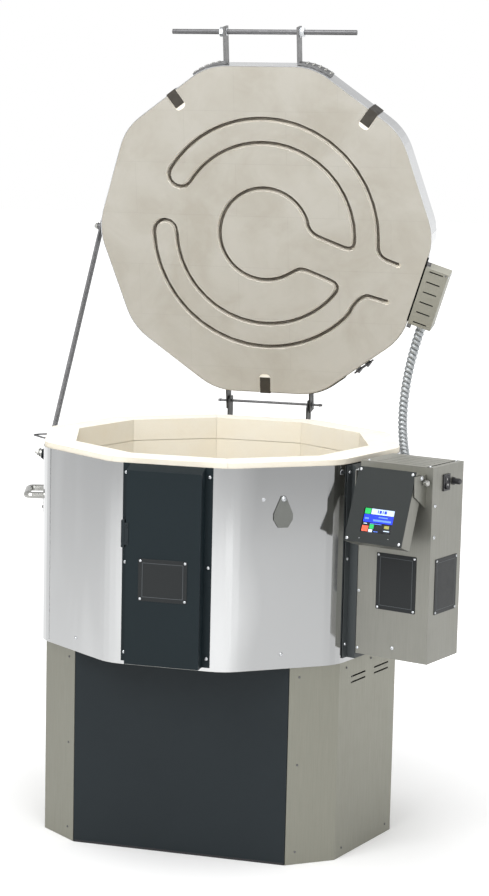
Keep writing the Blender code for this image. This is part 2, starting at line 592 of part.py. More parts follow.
# ----------------------------------------------------------------- control box on the right
R342 = Matrix.Rotation(radians(342), 4, "Z")
n0, n1 = BOX_N
t0, t1 = BOX_T
z0, z1 = BOX_Z
w = BOX_WALL
shell = make("control_box_shell", block(n0, n1, t0, t1, z0, z1), "brushed", rot=(0, 0, 342))
cut(shell, make("control_hollow", block(n0 - 1, n1 - w, t0 + w, t1 - w, z0 + w, z1 - w), None, rot=(0, 0, 342), cutter=True))
louvres = [block(n0 + 1.0, n1 - 1.0, -2.5 + i * 0.75 - 0.05, -2.5 + i * 0.75 + 0.05, z1 - 0.4, z1 + 0.4) for i in range(5)]
SW_T, SW_Z = -1.1, 30.63
louvres.append(block(n1 - 0.4, n1 + 0.4, SW_T - 0.4, SW_T + 0.4, SW_Z - 0.55, SW_Z + 0.55))
cut(shell, make("control_openings", merge(*louvres), None, rot=(0, 0, 342), cutter=True))

bez = make("power_switch_bezel", block(n1 + GAP, n1 + GAP + 0.09, SW_T - 0.5, SW_T + 0.5, SW_Z - 0.63, SW_Z + 0.63), "plastic", rot=(0, 0, 342))
cut(bez, make("bezel_window", block(n1 - 0.3, n1 + 0.6, SW_T - 0.34, SW_T + 0.34, SW_Z - 0.50, SW_Z + 0.50), None, rot=(0, 0, 342), cutter=True))
switch_axis = empty("switch_axis", (0, 0, 0))
switch_axis.matrix_world = R342 @ Matrix.Translation(Vector((n1 - 0.02, SW_T, SW_Z)) * IN) @ Matrix.Rotation(radians(-8), 4, "Y")
make("power_switch_rocker", prism_y([(-0.12, -0.45), (0.20, -0.45), (0.14, 0.0), (0.20, 0.45), (-0.12, 0.45)], -0.3, 0.3), "plastic", parent=switch_axis)

FUSE_T, FUSE_Z = 0.05, 30.6
fuse = make("fuse_holder", lathe_x([(n1 + GAP, 0.30), (n1 + 0.12, 0.30), (n1 + 0.13, 0.22), (n1 + 0.36, 0.22)], 12), "plastic", smooth=True)
fuse.matrix_world = R342 @ Matrix.Translation(Vector((0, FUSE_T, FUSE_Z)) * IN)
fuse_axis = empty("fuse_axis", (0, 0, 0))
fuse_axis.matrix_world = R342 @ Matrix.Translation(Vector((n1 + 0.38, FUSE_T, FUSE_Z)) * IN)
make("fuse_cap", lathe_x([(0.0, 0.23), (0.2, 0.23), (0.3, 0.16)], 12), "zinc", parent=fuse_axis, smooth=True)

for name, dims, mat in (("power_relay", (15.08, 16.6, -2.3, -0.1, 19.0, 21.8), "board"), ("terminal_block", (15.08, 15.9, -2.5, 1.2, 24.0, 24.9), "ceramic")):
    make(name, block(*dims), mat, rot=(0, 0, 342))

gland = make("power_inlet_gland", lathe_x([(0.0, 0.50), (0.28, 0.50), (0.30, 0.42), (0.95, 0.34)], 12), "plastic", smooth=True)
gland.matrix_world = R342 @ Matrix.Translation(Vector((18.4, t1 + GAP, 18.6)) * IN) @ Matrix.Rotation(radians(90), 4, "Z")
bore = make("gland_bore", lathe_x([(0.35, 0.19), (1.3, 0.19)], 10), None, cutter=True)
bore.matrix_world = gland.matrix_world.copy()
cut(gland, bore)

# ----------------------------------------------------------------- tilting control head
mid = (n0 + n1) / 2
pivot_t = t0 - PIVOT_OFF
head_axis = empty("head_axis", (0, 0, 0))
head_axis.matrix_world = (R342 @ Matrix.Translation(Vector((mid, pivot_t, PIVOT_Z)) * IN) @ Matrix.Rotation(radians(-HEAD_TILT), 4, "X"))
hw = HEAD_W / 2
top = 0.27
front = -0.79
back = front + HEAD_D
hs = make("head_shell", block(-hw, hw, front + 0.07 + GAP, back, top - HEAD_H, top), "brushed", parent=head_axis)
cut(hs, make("head_hollow", block(-hw + 0.05, hw - 0.05, front - 1.0, back - 0.05, top - HEAD_H + 0.05, top - 0.05), None, parent=head_axis, cutter=True))
SCREEN = (-1.26, 1.34, top - 4.94, top - 3.07)
fp = make("head_face_panel", block(-hw, hw, front, front + 0.07, top - HEAD_H, top), "dark", parent=head_axis)
cut(fp, make("screen_window", block(SCREEN[0], SCREEN[1], front - 0.5, front + 0.5, SCREEN[2], SCREEN[3]), None, parent=head_axis, cutter=True))
make("head_touchscreen", block(SCREEN[0] - 0.1, SCREEN[1] + 0.1, front + 0.07 + GAP, front + 0.3, SCREEN[2] - 0.1, SCREEN[3] + 0.1), "screen", parent=head_axis)

# the two side plates carry the pivot, and the right one has the arc slot for the clamp
CL_R = 0.5
CL_A = -50.0             # where the clamp sits, up from the direction of the box
f0 = t0 - GAP
quad = [(f0, 31.4), (t0 - 1.75, 31.4), (t0 - 1.75, 29.9), (f0, 28.85)]
for side, x0, x1 in (("left", mid - hw - 0.12, mid - hw - 0.06), ("right", mid + hw + 0.06, mid + hw + 0.12)):
    br = make("head_bracket_" + side, prism_x(quad, x0, x1), "brushed", rot=(0, 0, 342))
    arcp = []
    for s in range(9):
        b = radians(CL_A - 22 + 54 * s / 8)
        arcp.append((pivot_t + CL_R * cos(b), PIVOT_Z + CL_R * sin(b)))
    cut(br, make("arc_slot_" + side, prism_x(strip(arcp, 0.24), x0 - 0.3, x1 + 0.3), None, rot=(0, 0, 342), cutter=True))

knob_at = radians(CL_A + HEAD_TILT)
knob_axis = empty("knob_axis", (hw + 0.14, CL_R * cos(knob_at), CL_R * sin(knob_at)), parent=head_axis)
make("head_clamp_knob", lathe_x([(-0.12, 0.08), (0.0, 0.08), (0.01, 0.21), (0.12, 0.24), (0.34, 0.24), (0.42, 0.18)], 12), "zinc", parent=knob_axis, smooth=True)

# ----------------------------------------------------------------- flexible conduit from the control box to the lid's terminal box
foot = R342 @ Vector((16.0, t1 + GAP, 26.13))
c18, s18 = cos(radians(-18)), sin(radians(-18))


def lid_point(x, v, behind):
    p = Vector((0, -v + LID_CY - HINGE_Y, LID_Z + behind - HINGE_Z))
    p = lid_turn @ p + Vector((x, HINGE_Y, HINGE_Z))
    return p


def on_flat(r, s, behind):
    return lid_point(r * c18 - s * s18, r * s18 + s * c18, behind)


mouth = on_flat(15.4, -3.15 - 0.02, 1.0)
heading = (on_flat(15.4, -4.2, 1.0) - mouth).normalized()
ed = R342 @ Vector((0, 1, 0))
foot_in = foot + ed * 0.8
mouth_in = mouth + heading * 0.5
A = foot_in + ed * 7.13
B = mouth_in + heading * 14.04
pts = [tuple(foot)]
for i in range(37):
    t = i / 36
    pts.append(tuple(foot_in * (1 - t) ** 3 + A * 3 * t * (1 - t) ** 2 + B * 3 * t * t * (1 - t) + mouth_in * t ** 3))
pts.append(tuple(mouth))
make("lid_conduit", tube(pts, CONDUIT_R, 8), "zinc", smooth=True)
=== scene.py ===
from math import atan2, cos, degrees, pi, radians, sin, sqrt, tan

import bmesh
import bpy
from mathutils import Matrix, Vector


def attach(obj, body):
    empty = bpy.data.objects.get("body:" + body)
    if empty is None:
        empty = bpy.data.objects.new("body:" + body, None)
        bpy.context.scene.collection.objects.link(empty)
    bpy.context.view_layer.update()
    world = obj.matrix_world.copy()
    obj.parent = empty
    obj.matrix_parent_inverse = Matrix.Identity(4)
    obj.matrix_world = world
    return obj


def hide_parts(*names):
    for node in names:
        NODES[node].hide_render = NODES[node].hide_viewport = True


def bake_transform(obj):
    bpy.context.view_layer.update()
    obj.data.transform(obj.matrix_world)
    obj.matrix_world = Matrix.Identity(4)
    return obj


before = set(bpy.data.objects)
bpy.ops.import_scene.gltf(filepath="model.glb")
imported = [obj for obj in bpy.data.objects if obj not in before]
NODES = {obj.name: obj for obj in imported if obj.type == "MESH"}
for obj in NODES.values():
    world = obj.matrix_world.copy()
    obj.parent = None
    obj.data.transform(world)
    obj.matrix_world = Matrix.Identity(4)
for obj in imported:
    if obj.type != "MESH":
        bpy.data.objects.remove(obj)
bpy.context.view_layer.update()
IN = 0.0254

# ------------------------------------------------------------------ camera
AZ, PITCH, ROLL = radians(15.373), radians(8.036), radians(1.296)
fw = Vector((-sin(AZ) * cos(PITCH), cos(AZ) * cos(PITCH), -sin(PITCH)))
rt = fw.cross(Vector((0, 0, 1))).normalized()
up = rt.cross(fw)
rt2 = rt * cos(ROLL) + up * sin(ROLL)
up2 = -rt * sin(ROLL) + up * cos(ROLL)
cam_data = bpy.data.cameras.new("camera")
cam_data.sensor_fit = "VERTICAL"
cam_data.sensor_height = 36.0
cam_data.sensor_width = 36.0
cam_data.lens = 2095.5 / 896.0 * 36.0
cam_data.clip_end = 100.0
cam = bpy.data.objects.new("camera", cam_data)
bpy.context.scene.collection.objects.link(cam)
rot = Matrix((rt2, up2, -fw)).transposed()
cam.matrix_world = Matrix.Translation((1.188, -4.138, 1.398)) @ rot.to_4x4()
bpy.context.scene.camera = cam

# ------------------------------------------------------------------ the kiln's own measures, in inches
HY, HZ = 15.38, 33.14
LCY = -0.10
LZ = 32.03
LID_T = 2.25
N0, N1 = 15.10, 21.35
T0, T1 = -3.2, 1.7
Z0, Z1 = 16.85, 31.95
JACKET = 14.2575
COVER_N = 15.3
BACK_N = 15.05
FLANGE_N = 14.3215


def T(x, y, z):
    return Matrix.Translation((x, y, z))


def RZ(a):
    return Matrix.Rotation(radians(a), 4, "Z")


def RX(a):
    return Matrix.Rotation(radians(a), 4, "X")


def RY(a):
    return Matrix.Rotation(radians(a), 4, "Y")


LID = T(0, HY, HZ) @ RX(-80) @ T(0, LCY - HY, -HZ)
BOX = RZ(342)
MID = (N0 + N1) / 2
PIV_T, PIV_Z = T0 - 0.75, 31.2
HEAD = BOX @ T(MID, PIV_T, PIV_Z) @ RX(-20)
HW, HT, HH = 2.45, 0.27, 5.79
HF = -0.79


# ------------------------------------------------------------------ shader helpers
class Mat:
    """A Principled material and short ways to wire nodes into it."""

    def __init__(self, name, rgb=(0.5, 0.5, 0.5), rough=0.5, metal=0.0, **sockets):
        self.m = bpy.data.materials.new(name)
        self.m.use_nodes = True
        self.nt = self.m.node_tree
        self.p = self.nt.nodes["Principled BSDF"]
        self.p.inputs["Base Color"].default_value = (*rgb, 1)
        self.p.inputs["Roughness"].default_value = rough
        self.p.inputs["Metallic"].default_value = metal
        for k, v in sockets.items():
            self.p.inputs[k.replace("_", " ")].default_value = v
        self.m.diffuse_color = (*rgb, 1)

    def node(self, kind, **props):
        n = self.nt.nodes.new(kind)
        for k, v in props.items():
            setattr(n, k, v)
        return n

    def link(self, a, b):
        self.nt.links.new(a, b)

    def coords(self, scale=(1, 1, 1), rotation=(0, 0, 0), location=(0, 0, 0)):
        tc = self.node("ShaderNodeTexCoord")
        mp = self.node("ShaderNodeMapping")
        mp.inputs["Location"].default_value = location
        mp.inputs["Rotation"].default_value = rotation
        mp.inputs["Scale"].default_value = scale
        self.link(tc.outputs["Object"], mp.inputs["Vector"])
        return mp.outputs["Vector"]

    def noise(self, vec, scale, detail=4.0, rough=0.55, distortion=0.0):
        n = self.node("ShaderNodeTexNoise")
        n.inputs["Scale"].default_value = scale
        n.inputs["Detail"].default_value = detail
        n.inputs["Roughness"].default_value = rough
        n.inputs["Distortion"].default_value = distortion
        self.link(vec, n.inputs["Vector"])
        return n.outputs["Fac"]

    def voronoi(self, vec, scale, feature="F1", rnd=1.0):
        n = self.node("ShaderNodeTexVoronoi", feature=feature)
        n.inputs["Scale"].default_value = scale
        n.inputs["Randomness"].default_value = rnd
        self.link(vec, n.inputs["Vector"])
        return n.outputs["Distance"]

    def ramp(self, fac, *stops):
        n = self.node("ShaderNodeValToRGB")
        el = n.color_ramp.elements
        while len(el) < len(stops):
            el.new(0.5)
        for e, (pos, col) in zip(el, stops):
            e.position = pos
            e.color = (*col, 1) if isinstance(col, tuple) else (col, col, col, 1)
        self.link(fac, n.inputs["Fac"])
        return n.outputs["Color"]

    def map(self, fac, a, b, lo, hi):
        n = self.node("ShaderNodeMapRange")
        n.inputs["From Min"].default_value = a
        n.inputs["From Max"].default_value = b
        n.inputs["To Min"].default_value = lo
        n.inputs["To Max"].default_value = hi
        self.link(fac, n.inputs["Value"])
        return n.outputs["Result"]

    def math(self, op, a, b=None, clamp=False):
        n = self.node("ShaderNodeMath", operation=op, use_clamp=clamp)
        for k, v in enumerate((a, b)):
            if v is None:
                continue
            if isinstance(v, (int, float)):
                n.inputs[k].default_value = v
            else:
                self.link(v, n.inputs[k])
        return n.outputs["Value"]

    def mix(self, fac, a, b, blend="MIX"):
        n = self.node("ShaderNodeMix", data_type="RGBA", blend_type=blend)
        for sock, v in ((n.inputs[0], fac), (n.inputs[6], a), (n.inputs[7], b)):
            if isinstance(v, (int, float)):
                sock.default_value = v
            elif isinstance(v, tuple):
                sock.default_value = (*v, 1)
            else:
                self.link(v, sock)
        return n.outputs[2]

    def xyz(self, vec):
        n = self.node("ShaderNodeSeparateXYZ")
        self.link(vec, n.inputs["Vector"])
        return n.outputs

    def bump(self, height, strength, distance, normal=None):
        n = self.node("ShaderNodeBump")
        n.inputs["Strength"].default_value = strength
        n.inputs["Distance"].default_value = distance
        self.link(height, n.inputs["Height"])
        if normal is not None:
            self.link(normal, n.inputs["Normal"])
        return n.outputs["Normal"]

    def color(self, sock):
        self.link(sock, self.p.inputs["Base Color"])

    def rough(self, sock):
        self.link(sock, self.p.inputs["Roughness"])

    def normal(self, sock):
        self.link(sock, self.p.inputs["Normal"])


# ------------------------------------------------------------------ materials
def brick_material(name, top, wall):
    m = Mat(name, top, 0.92)
    v = m.coords()
    big = m.noise(v, 9.0, 3.0)
    mid = m.noise(v, 55.0, 5.0, 0.6)
    fine = m.noise(v, 420.0, 3.0, 0.7)
    pits = m.voronoi(v, 380.0)
    pit = m.ramp(pits, (0.0, 0.0), (0.16, 1.0))
    # painted light and shade: upward faces take the paler top colour, upright faces the darker wall colour, chosen by
    # the normal
    geo = m.node("ShaderNodeNewGeometry")
    nz = m.xyz(geo.outputs["True Normal"])["Z"]
    upfacing_painted_light = m.map(nz, 0.2, 0.9, 0.0, 1.0)
    base = m.mix(upfacing_painted_light, wall, top)
    warm = tuple(c * k for c, k in zip(wall, (0.99, 0.955, 0.89)))
    patch = m.math("MULTIPLY", m.map(big, 0.42, 0.70, 0.0, 0.6), m.map(upfacing_painted_light, 0.0, 1.0, 1.0, 0.25))
    base = m.mix(patch, base, warm)
    base = m.mix(m.map(mid, 0.50, 0.80, 0.0, 0.22), base, tuple(c * k for c, k in zip(wall, (0.93, 0.88, 0.80))))
    base = m.mix(m.map(pit, 0.0, 1.0, 0.32, 0.0), base, tuple(c * 0.66 for c in wall))
    m.color(base)
    h = m.math("ADD", m.math("MULTIPLY", pit, 0.6), m.math("MULTIPLY", fine, 0.5))
    n1 = m.bump(h, 0.35, 0.0006)
    m.normal(m.bump(mid, 0.25, 0.0015, n1))
    return m.m


def lid_brick_material():
    """Cemented slab: faint brick joints, heat blotches, and clean brick inside the grooves and clip pockets."""
    m = Mat("lid_firebrick", (0.47, 0.44, 0.38), 0.93)
    h = Vector((0, HY, HZ)) * IN
    loc = -(Matrix.Rotation(radians(80), 3, "X") @ h)
    v = m.coords(rotation=(radians(80), 0, 0), location=tuple(loc))
    # v is now the closed lid seen from its hinge: x, y from the hinge, z up from the hinge
    big = m.noise(v, 7.0, 4.0, 0.6, 0.6)
    mid = m.noise(v, 34.0, 5.0, 0.62)
    fine = m.noise(v, 420.0, 3.0, 0.7)
    pits = m.voronoi(v, 380.0)
    pit = m.ramp(pits, (0.0, 0.0), (0.16, 1.0))
    base = m.mix(m.map(big, 0.40, 0.62, 0.0, 1.0), (0.400, 0.383, 0.340), (0.350, 0.328, 0.280))
    base = m.mix(m.map(mid, 0.48, 0.78, 0.0, 0.30), base, (0.435, 0.416, 0.375))
    # brick joints
    br = m.node("ShaderNodeTexBrick", offset=0.5, offset_frequency=2, squash=1.0)
    br.inputs["Scale"].default_value = 1.0
    br.inputs["Mortar Size"].default_value = 0.00055
    br.inputs["Mortar Smooth"].default_value = 0.35
    br.inputs["Bias"].default_value = 0.0
    br.inputs["Brick Width"].default_value = 9.0 * IN
    br.inputs["Row Height"].default_value = 4.5 * IN
    br.inputs["Color1"].default_value = (0, 0, 0, 1)
    br.inputs["Color2"].default_value = (1, 1, 1, 1)
    br.inputs["Mortar"].default_value = (0.5, 0.5, 0.5, 1)
    sh = m.node("ShaderNodeVectorMath", operation="ADD")
    sh.inputs[1].default_value = (2.3 * IN, -1.1 * IN, 0)
    m.link(v, sh.inputs[0])
    m.link(sh.outputs["Vector"], br.inputs["Vector"])
    tone = m.xyz(br.outputs["Color"])["X"]
    joint = br.outputs["Fac"]
    base = m.mix(m.math("MULTIPLY", tone, 0.12), base, (0.425, 0.41, 0.368))
    base = m.mix(m.math("MULTIPLY", joint, 0.36), base, (0.285, 0.27, 0.237))
    base = m.mix(m.map(pit, 0.0, 1.0, 0.34, 0.0), base, (0.24, 0.228, 0.20))
    # a little paler towards the rim
    c = m.node("ShaderNodeVectorMath", operation="DISTANCE")
    m.link(v, c.inputs[0])
    c.inputs[1].default_value = (0, (LCY - HY) * IN, (LZ - HZ) * IN)
    base = m.mix(m.map(c.outputs["Value"], 11.0 * IN, 14.4 * IN, 0.0, 0.25), base, (0.45, 0.43, 0.385))
    # clean brick below the skin: groove walls and clip pockets
    deep = m.map(m.xyz(v)["Z"], (LZ - HZ + 0.015) * IN, (LZ - HZ + 0.04) * IN, 0.0, 1.0)
    base = m.mix(deep, base, (0.97, 0.93, 0.84))
    # the lid's upper face
    over = m.map(m.xyz(v)["Z"], (LZ - HZ + 2.0) * IN, (LZ - HZ + 2.2) * IN, 0.0, 1.0)
    base = m.mix(over, base, (0.56, 0.53, 0.465))
    m.color(base)
    hh = m.math("ADD", m.math("MULTIPLY", pit, 0.6), m.math("MULTIPLY", fine, 0.5))
    n1 = m.bump(hh, 0.35, 0.0006)
    n2 = m.bump(m.math("MULTIPLY", joint, -1.0), 0.3, 0.0005, n1)
    m.normal(m.bump(mid, 0.22, 0.0015, n2))
    return m.m


def mirror_material(name, rgb=(0.545, 0.552, 0.555), rough=0.10, painted_reflection_gain=0.13, side=0.0):
    """Polished sheet, a little wavy, with broad soft vertical bands of painted reflection and, when side is set,
    painted shade on its right.
    """
    m = Mat(name, rgb, rough, 1.0)
    v = m.coords()
    wave = m.noise(v, 3.2, 2.0, 0.4)
    ripple = m.noise(m.coords(scale=(1, 1, 0.25)), 26.0, 2.0, 0.4)
    grain = m.noise(m.coords(scale=(1, 1, 40)), 60.0, 3.0, 0.6)
    smear = m.noise(v, 14.0, 5.0, 0.6)
    painted_reflection_band = m.noise(m.coords(scale=(1, 1, 0.14)), 9.0, 2.0, 0.45, 0.35)
    m.rough(m.math("ADD", m.map(grain, 0.3, 0.7, rough * 0.75, rough * 1.2), m.map(smear, 0.55, 0.8, 0.0, 0.05)))
    c = m.mix(m.map(smear, 0.4, 0.8, 0.0, 0.25), rgb, tuple(k * 0.95 for k in rgb))
    # painted reflection: broad soft vertical bands brighten the colour
    c = m.mix(m.map(painted_reflection_band, 0.42, 0.62, 0.0, 1.0), c, tuple(min(1.0, k * (1 + painted_reflection_gain)) for k in rgb))
    # painted shade: the sheet's right side is drawn darker by the side factor
    if side:
        right = m.map(m.math("ADD", m.xyz(v)["X"], m.map(wave, 0.3, 0.7, -0.02, 0.02)), 0.13, 0.17, 0.0, 1.0)
        c = m.mix(right, c, tuple(k * side for k in rgb))
    m.color(c)
    n1 = m.bump(wave, 0.25, 0.004)
    m.normal(m.bump(ripple, 0.05, 0.0012, n1))
    return m.m


def brushed_material(name, rgb, rough=0.42, along="Z", metal=0.85, top=1.0):
    m = Mat(name, rgb, rough, metal)
    s = {"Z": (1, 1, 0.02), "X": (0.02, 1, 1), "Y": (1, 0.02, 1)}[along]
    streak = m.noise(m.coords(scale=s), 700.0, 3.0, 0.7)
    broad = m.noise(m.coords(), 5.0, 3.0, 0.5)
    smear = m.noise(m.coords(), 22.0, 5.0, 0.6)
    m.rough(m.math("ADD", m.map(streak, 0.3, 0.7, rough - 0.07, rough + 0.09), m.map(smear, 0.5, 0.8, 0.0, 0.06)))
    c = m.mix(m.map(streak, 0.3, 0.7, 0.0, 0.35), rgb, tuple(k * 0.84 for k in rgb))
    c = m.mix(m.map(broad, 0.35, 0.7, 0.0, 0.25), c, tuple(k * 0.9 for k in rgb))
    # painted light: faces that look up are drawn lighter by the top factor
    if top != 1.0:
        geo = m.node("ShaderNodeNewGeometry")
        nz = m.xyz(geo.outputs["True Normal"])["Z"]
        c = m.mix(m.map(nz, 0.8, 0.95, 0.0, 1.0), c, tuple(min(1.0, k * top) for k in rgb))
    m.color(c)
    m.normal(m.bump(streak, 0.10, 0.0002))
    return m.m


def paint_material(name, rgb, rough=0.42, spec=0.22):
    m = Mat(name, rgb, rough, 0.0, Specular_IOR_Level=spec)
    v = m.coords()
    peel = m.noise(v, 900.0, 2.0, 0.5)
    broad = m.noise(v, 6.0, 3.0, 0.5)
    dust = m.noise(v, 60.0, 6.0, 0.7)
    m.color(m.mix(m.map(broad, 0.35, 0.7, 0.0, 0.5), rgb, tuple(k * 1.18 for k in rgb)))
    m.rough(m.math("ADD", m.map(dust, 0.4, 0.8, rough - 0.03, rough + 0.10), 0.0))
    m.normal(m.bump(peel, 0.18, 0.00015))
    return m.m


def steel_material(name, rgb, rough=0.38, spots=0.3):
    m = Mat(name, rgb, rough, 0.95)
    v = m.coords()
    mott = m.noise(v, 70.0, 5.0, 0.6)
    fine = m.noise(v, 900.0, 2.0, 0.6)
    m.color(m.mix(m.map(mott, 0.4, 0.75, 0.0, spots), rgb, tuple(k * 0.6 for k in rgb)))
    m.rough(m.map(mott, 0.3, 0.8, rough - 0.08, rough + 0.14))
    m.normal(m.bump(fine, 0.12, 0.0002))
    return m.m


def plastic_material(name, rgb, rough=0.4):
    m = Mat(name, rgb, rough)
    v = m.coords()
    fine = m.noise(v, 1500.0, 2.0, 0.5)
    wear = m.noise(v, 90.0, 4.0, 0.6)
    m.color(m.mix(m.map(wear, 0.45, 0.8, 0.0, 0.4), rgb, tuple(min(1, k * 1.4 + 0.01) for k in rgb)))
    m.rough(m.map(wear, 0.3, 0.8, rough - 0.05, rough + 0.1))
    m.normal(m.bump(fine, 0.15, 0.00015))
    return m.m


def element_material():
    m = Mat("element_wire", (0.10, 0.075, 0.055), 0.72, 0.4)
    v = m.coords()
    ox = m.noise(v, 260.0, 4.0, 0.6)
    m.color(m.mix(m.map(ox, 0.35, 0.7, 0.0, 1.0), (0.055, 0.044, 0.034), (0.13, 0.105, 0.078)))
    m.rough(m.map(ox, 0.3, 0.7, 0.6, 0.85))
    m.normal(m.bump(ox, 0.3, 0.0003))
    return m.m


def lit_material(name, rgb, glow=0.35):
    m = Mat(name, rgb, 0.18)
    m.p.inputs["Emission Color"].default_value = (*rgb, 1)
    m.p.inputs["Emission Strength"].default_value = glow
    v = m.coords()
    px = m.noise(v, 1800.0, 1.0, 0.5)
    m.rough(m.map(px, 0.3, 0.7, 0.14, 0.24))
    m.normal(m.bump(px, 0.05, 0.0001))
    return m.m


# brick: the paler colour is painted light on upward faces, the darker one painted shade on upright faces
BRICK = brick_material("firebrick", (0.95, 0.905, 0.815), (0.725, 0.685, 0.59))
LIDBRICK = lid_brick_material()
# the jacket: painted shade darkens its right side to 0.80
MIRROR = mirror_material("polished_steel", side=0.80)
# the lid's band: faint vertical bands of painted reflection
BAND = mirror_material("polished_band", (0.67, 0.68, 0.69), 0.20, 0.05)
# painted light: upward faces of the box, head and brackets are drawn 1.42 times lighter
BRUSHED = brushed_material("brushed_steel", (0.275, 0.274, 0.246), 0.42, top=1.42)
STANDSTEEL = brushed_material("brushed_stand", (0.265, 0.263, 0.222), 0.40)
# painted light: upward faces of the terminal box are drawn twice as light
TERMSTEEL = brushed_material("brushed_terminal", (0.33, 0.325, 0.28), 0.45, top=2.0)
DARK = paint_material("dark_paint", (0.011, 0.016, 0.019), 0.45)
COVER = paint_material("dark_cover", (0.0065, 0.0125, 0.0155), 0.45, 0.2)
BACKING = paint_material("dark_backing", (0.040, 0.046, 0.048), 0.45, 0.3)
PLATE = paint_material("bare_plate", (0.016, 0.018, 0.019), 0.38)
FACE = paint_material("head_face", (0.021, 0.0245, 0.024), 0.42)
STEEL = steel_material("bar_steel", (0.17, 0.17, 0.175), 0.45, 0.4)
ARMSTEEL = steel_material("arm_steel", (0.23, 0.23, 0.232), 0.42, 0.4)
DARKSTEEL = steel_material("hinge_steel", (0.060, 0.060, 0.058), 0.5, 0.5)
COVERGREY = paint_material("peephole_grey", (0.13, 0.135, 0.125), 0.5, 0.3)
ZINC = steel_material("zinc_steel", (0.62, 0.64, 0.66), 0.28, 0.3)
DULLZINC = steel_material("dull_zinc", (0.43, 0.43, 0.41), 0.28, 0.3)
CLIP = steel_material("clip_steel", (0.085, 0.078, 0.068), 0.50, 0.5)
CONDUIT = steel_material("conduit_steel", (0.44, 0.46, 0.47), 0.48, 0.25)
# painted shade for the conduit's helical valley
VALLEY_SHADE = steel_material("conduit_valley_painted_shade", (0.15, 0.16, 0.16), 0.55, 0.3)
# flat black, used as painted shadow in gaps, slots and seams
SHADOW = paint_material("gap_painted_shadow", (0.004, 0.004, 0.004), 0.85, 0.0)
ELEMENT = element_material()
PLASTIC = plastic_material("black_plastic", (0.012, 0.012, 0.014), 0.38)
CERAMIC = plastic_material("ceramic", (0.78, 0.74, 0.66), 0.35)
GLASS = plastic_material("screen_glass", (0.006, 0.007, 0.010), 0.12)
WHITE_MARK = plastic_material("white_mark", (0.75, 0.75, 0.73), 0.4)


def setmat(mat, *names):
    for n in names:
        ob = NODES[n]
        for s in ob.material_slots:
            s.material = mat


setmat(BRICK, "chamber_floor_brick", *["wall_brick_%02d" % i for i in range(1, 11)])
setmat(LIDBRICK, "lid_brick")
setmat(MIRROR, "chamber_jacket")
setmat(BAND, "lid_band")
setmat(STANDSTEEL, "stand_base_pan", "stand_back_panel", "stand_left_panel", "stand_right_panel", "stand_top_deck", "chamber_bottom_pan")
setmat(BRUSHED, "control_box_shell", "head_shell", "head_bracket_left", "head_bracket_right")
setmat(TERMSTEEL, "lid_terminal_box")
setmat(DARK, "stand_front_panel", "brace_anchor_bracket")
setmat(COVER, "element_cover_front")
setmat(BACKING, "control_backplate")
setmat(FACE, "head_face_panel")
setmat(STEEL, "handle_rod", "lid_brace", "lid_brace_bolt")
setmat(ARMSTEEL, "handle_arm_left", "handle_arm_right")
setmat(DARKSTEEL, "hinge_strap_left", "hinge_strap_right", "hinge_bracket_left", "hinge_bracket_right")
setmat(COVERGREY, "peephole_cover")
setmat(CLIP, "lid_clip_left", "lid_clip_right", "lid_clip_rear")
setmat(DULLZINC, "head_clamp_knob")
setmat(PLASTIC, "fuse_cap")
setmat(STEEL, "hinge_rod")
setmat(DULLZINC, "side_handle", "brace_anchor_bolt")
setmat(ELEMENT, "chamber_element_upper", "chamber_element_lower", "lid_element")
setmat(PLASTIC, "power_switch_bezel", "power_switch_rocker", "fuse_holder", "power_inlet_gland", "power_relay")
setmat(CERAMIC, "terminal_block", "thermocouple")
setmat(GLASS, "head_touchscreen")


# ------------------------------------------------------------------ mesh helpers
def build(name, verts, faces, mat, body="root", smooth=False, bevel=0.0, seg=2, subdiv=0, sharp=35):
    """verts are world points in inches."""
    me = bpy.data.meshes.new(name)
    me.from_pydata([tuple(Vector(v) * IN) for v in verts], [], faces)
    bm = bmesh.new()
    bm.from_mesh(me)
    bmesh.ops.recalc_face_normals(bm, faces=bm.faces)
    bm.to_mesh(me)
    bm.free()
    me.materials.append(mat)
    ob = bpy.data.objects.new(name, me)
    bpy.context.scene.collection.objects.link(ob)
    if smooth:
        me.shade_smooth()
        if not subdiv:
            me.set_sharp_from_angle(angle=radians(sharp))
    if bevel:
        b = ob.modifiers.new("bevel", "BEVEL")
        b.width = bevel * IN
        b.segments = seg
        b.limit_method = "ANGLE"
        b.angle_limit = radians(40)
        b.harden_normals = False
    if subdiv:
        s = ob.modifiers.new("subdiv", "SUBSURF")
        s.levels = s.render_levels = subdiv
    if body:
        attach(ob, body)
    return ob


def join(*shapes):
    verts, faces = [], []
    for v, f in shapes:
        k = len(verts)
        verts += v
        faces += [[i + k for i in face] for face in f]
    return verts, faces


def place(shape, M):
    v, f = shape
    return [tuple(M @ Vector(p)) for p in v], f


def prism(poly, z0, z1):
    n = len(poly)
    verts = [(x, y, z0) for x, y in poly] + [(x, y, z1) for x, y in poly]
    faces = [list(range(n))[::-1], list(range(n, 2 * n))]
    faces += [[i, (i + 1) % n, n + (i + 1) % n, n + i] for i in range(n)]
    return verts, faces


def prism_x(poly, x0, x1):
    v, f = prism(poly, x0, x1)
    return [(c, a, b) for a, b, c in v], f


def prism_y(poly, y0, y1):
    v, f = prism(poly, y0, y1)
    return [(a, c, b) for a, b, c in v], f


def block(x0, x1, y0, y1, z0, z1):
    return prism([(x0, y0), (x1, y0), (x1, y1), (x0, y1)], z0, z1)


def rounded(x0, x1, y0, y1, r, n=4):
    pts = []
    for cx, cy, a in ((x1 - r, y1 - r, 0), (x0 + r, y1 - r, 90), (x0 + r, y0 + r, 180), (x1 - r, y0 + r, 270)):
        for k in range(n + 1):
            b = radians(a + 90 * k / n)
            pts.append((cx + r * cos(b), cy + r * sin(b)))
    return pts


